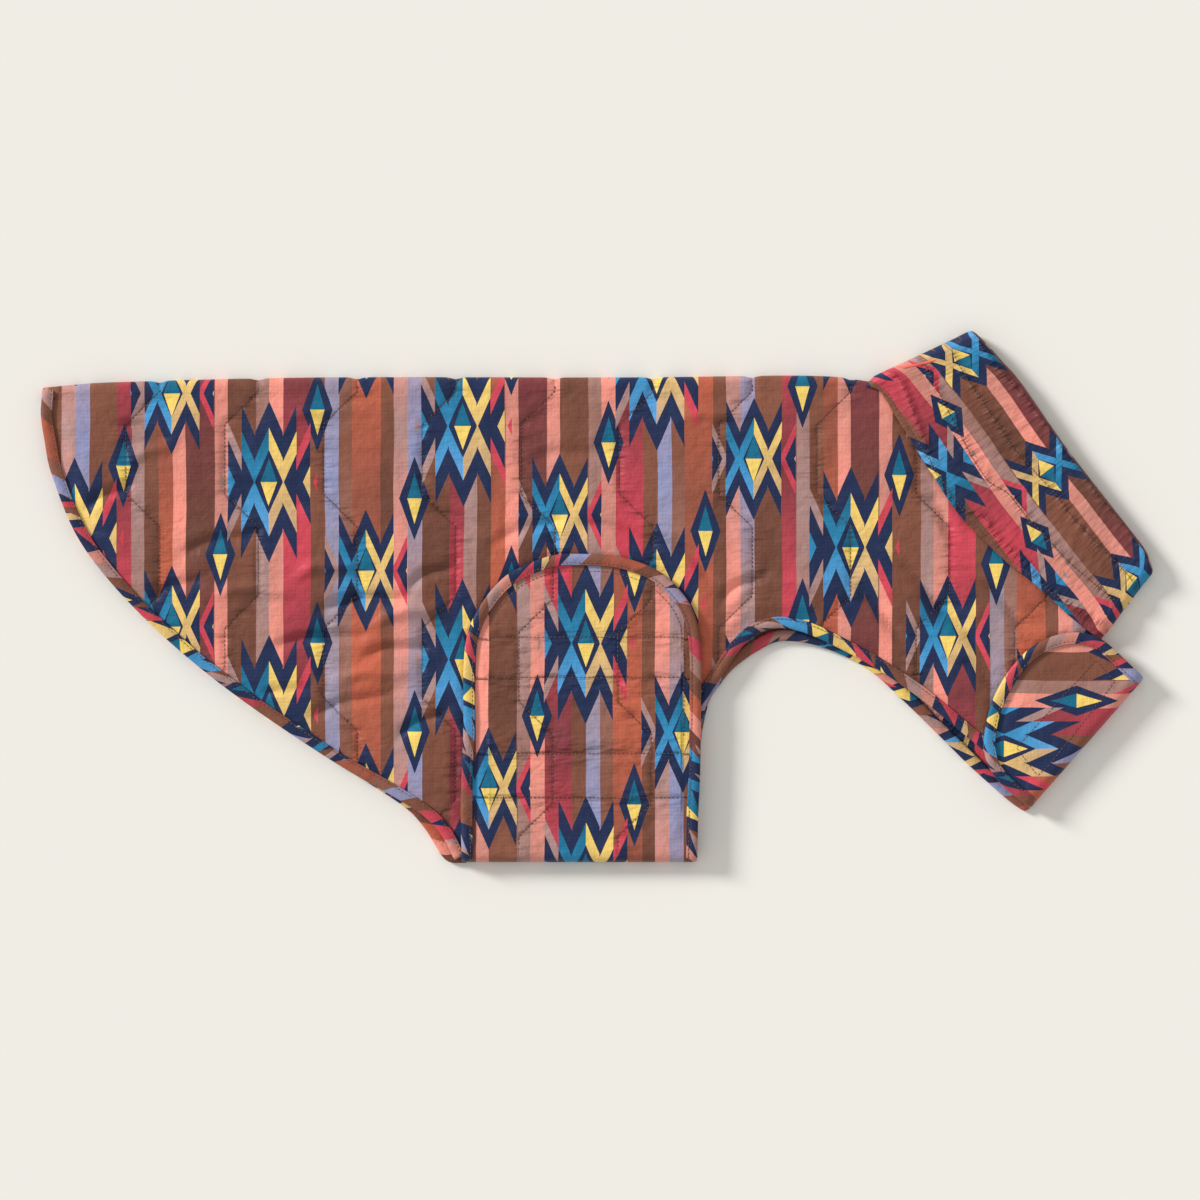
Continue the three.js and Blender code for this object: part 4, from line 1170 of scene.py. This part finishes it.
def body_seams():
    """The quilting of the near side, clear of its bindings."""
    crest = spine[(spine[:, 0] > SEWN_LEFT) & (spine[:, 0] < SEWN_RIGHT)] - [0, SPINE_IN]
    outline = np.vstack([near_hem[::-1], [SEWN_CORNER], crest, neck_line(SEWN_NECK),
                         near_armhole[::-1]])
    lines = sewn_lines(FIRST_LINE, LINES, 0, SEWN_TOP, SEWN_LOW)
    return [run for line in lines for run in inside_runs(line, outline, near_bound, SEWN_ROOM)]


# The belly band's stitched field, and the arch of stitches within its round end.
BAND_SEWN_LOW, BAND_SEWN_TOP, BAND_SEWN_BOTTOM, BAND_ROOM = -150, 20, -137, 7.5
ARCH_LOW, ARCH_SIDE, ARCH_SIDE_LOW = -12, 50, -75
ARCH_MIDDLE, ARCH_INSET = (-9.5, -35), 9.6


def band_seams():
    """The belly band's quilting, its tapes' rows and its arch."""
    outline = np.vstack([flap_edge, [(FLAP[-1][0], BAND_SEWN_LOW), (FLAP[0][0], BAND_SEWN_LOW)]])
    lines = sewn_lines(FLAP_FIRST, FLAP_LINES, FLAP_SHIFT, BAND_SEWN_TOP, BAND_SEWN_BOTTOM)
    level = np.arange(TAPE_LEFT + 1, TAPE_RIGHT, 1.0)
    lines += [np.column_stack([level, np.full(len(level), y)]) for y in TAPE_ROWS]
    arch = np.array([v for v in flap_edge
                     if v[1] > ARCH_LOW or v[0] > ARCH_SIDE and v[1] > ARCH_SIDE_LOW])
    inward = np.column_stack([ARCH_MIDDLE[0] - arch[:, 0],
                              np.minimum(ARCH_MIDDLE[1] - arch[:, 1], 0)])
    lines.append(arch + ARCH_INSET * inward / np.linalg.norm(inward, axis=1)[:, None])
    return [run for line in lines for run in inside_runs(line, outline, flap_edge, BAND_ROOM)]


# Top stitching of the bindings, by depth in from the edge and height above their middle.
EDGE_SEWN_DEPTH, EDGE_SEWN_HEIGHT = 5.1, 1.38


def make_edge_stitches():
    bm = bmesh.new()
    for stations, side, _, _ in EDGES.values():
        spots, normals, inward, _ = edge_frames(stations, side)
        line = spots + inward * EDGE_SEWN_DEPTH + normals * EDGE_SEWN_HEIGHT
        add_stitches(bm, line, normals)
    return finish_mesh(bm, "binding_stitches", THREAD, "bias_binding")


# Shares along the collar that are sewn, and its hem stitches' share across the fall.
COLLAR_SEWN = np.linspace(0.01, 0.995, 240)
HEM_SEWN_AT = 0.957


def collar_seam_lines():
    """The collar's two quilting lines and its hem stitches."""
    lines = [np.interp(COLLAR_SEWN, COLLAR_SHARES, line) for line in COLLAR_SEAMS]
    lines.append(np.full_like(COLLAR_SEWN, HEM_SEWN_AT))
    return [collar_spot(COLLAR_SEWN, across) for across in lines]


# Stitches round the chest strap's fastening tape.
TAPE_OUTLINE = [(271.7, -33.8), (228.2, -81.7), (239.8, -97.1), (246.9, -90.5), (282.2, -45.4),
                (271.7, -33.8)]
FEWEST = 8  # points along a side of it


def strap_seams():
    corners = np.array(TAPE_OUTLINE)
    return [a + (b - a) * np.linspace(0, 1, max(FEWEST, int(np.linalg.norm(b - a))))[:, None]
            for a, b in zip(corners, corners[1:])]


# Turned edge of the facing that shows at the nape, in plan.
NAPE_EDGE = [(159.8, 128.2), (163, 127.4), (166.6, 126.8), (171, 127.6), (176, 128.7),
             (184, 130.6)]
NAPE_HALF, NAPE_RISE, NAPE_END, NAPE_SIDES = 0.75, 0.35, 0.15, 8


def make_nape_edge():
    spots, normals = on_face(catmull(NAPE_EDGE, 1), "collar_cloth")
    spots, normals, inward, _ = edge_frames(list(zip(spots, normals)), 1)

    def place(u, v):
        i = np.rint(u * (len(spots) - 1)).astype(int)
        ends = ease(0, NAPE_END, u) * ease(0, NAPE_END, 1 - u)
        wide = NAPE_HALF * np.cos(2 * np.pi * v) * ends
        high = NAPE_RISE * np.sin(2 * np.pi * v)
        points = spots[i] + inward[i] * wide[:, None] + normals[i] * high[:, None]
        return points, np.column_stack([u, v]), None

    bm = cloth_grid(len(spots) - 1, NAPE_SIDES, place)
    close_tube(bm)
    salmon = plain_coat("salmon edge", EDGE_SALMON, 0.6, 0.22)
    return finish_mesh(bm, "nape_edge", salmon, "bias_binding")


# Stage, light and camera.
FRAME_WIDTH = 660.0  # millimetres that the square picture takes in
CAMERA_HEIGHT, CAMERA_DOWN = 3.2, 0.8  # metres up, and millimetres down the picture
FILM, FARTHEST = 36, 20  # millimetres wide, and metres away
TABLE_HALF = 4  # metres
SUN_DIRECTION, SUN_STRENGTH, SUN_ANGLE = (0.86, -0.50, -0.43), 3.12, 14
ROOM_LIGHT = 0.6


def make_stage():
    bm = bmesh.new()
    bmesh.ops.create_grid(bm, x_segments=1, y_segments=1, size=TABLE_HALF)
    mesh = bpy.data.meshes.new("table")
    bm.to_mesh(mesh)
    bm.free()
    table = bpy.data.objects.new("table", mesh)
    bpy.context.scene.collection.objects.link(table)
    mesh.materials.append(plain_coat("pale table", TABLE_CREAM, 0.9, 0.1))
    table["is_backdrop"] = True


def make_light():
    scene = bpy.context.scene
    scene.world = bpy.data.worlds.new("soft room")
    scene.world.use_nodes = True
    background = scene.world.node_tree.nodes["Background"]
    background.inputs[0].default_value = (1.0, 1.0, 1.0, 1)
    background.inputs[1].default_value = ROOM_LIGHT
    sun = bpy.data.lights.new("window", "SUN")
    sun.energy = SUN_STRENGTH
    sun.angle = math.radians(SUN_ANGLE)
    window = bpy.data.objects.new("window", sun)
    window.rotation_euler = Vector(SUN_DIRECTION).to_track_quat("-Z", "Y").to_euler()
    scene.collection.objects.link(window)
    scene.view_settings.view_transform = "Standard"
    scene.view_settings.look = "None"


def make_camera():
    lens = bpy.data.cameras.new("camera")
    lens.sensor_width = FILM
    lens.lens = FILM * CAMERA_HEIGHT / (FRAME_WIDTH * MM)
    lens.clip_end = FARTHEST
    camera = bpy.data.objects.new("camera", lens)
    camera.location = (SHIFT[0] * MM, (SHIFT[1] - CAMERA_DOWN) * MM, CAMERA_HEIGHT)
    bpy.context.scene.collection.objects.link(camera)
    bpy.context.scene.camera = camera


body = make_cloth("coat_body", (BODY_COLUMNS, sum(BODY_ROWS)), body_place, (0, 60),
                  BODY_PRINT, "body_panel")
flap = make_cloth("belly_band_cloth", (BAND_COLUMNS, sum(BAND_ROWS)), band_place, (-10, -30),
                  BAND_PRINT, "belly_band")
strap = make_cloth("chest_strap_cloth", (STRAP_COLUMNS, sum(STRAP_ROWS)), strap_place,
                   (245, -60), STRAP_PRINT, "chest_strap")
ring_columns = COLLAR_NEAR + COLLAR_FAR + 2 * COLLAR_TURN
collar = make_cloth("collar_cloth", (ring_columns, COLLAR_ROWS), collar_place, (236, 62),
                    COLLAR_PRINT, "collar", COLLAR_WALL, ring=True)
tape = {name: make_binding(name, stations, side, node_name, seed)
        for name, (stations, side, node_name, seed) in EDGES.items()}
make_stitches("quilting_stitches", body_seams(), "coat_body")
make_stitches("belly_band_stitches", band_seams(), "belly_band_cloth")
make_edge_stitches()
make_stitches("collar_stitches", collar_seam_lines(), "collar_cloth")
make_stitches("chest_strap_stitches", strap_seams(), "chest_strap_cloth")
make_nape_edge()
make_stage()
make_light()
make_camera()
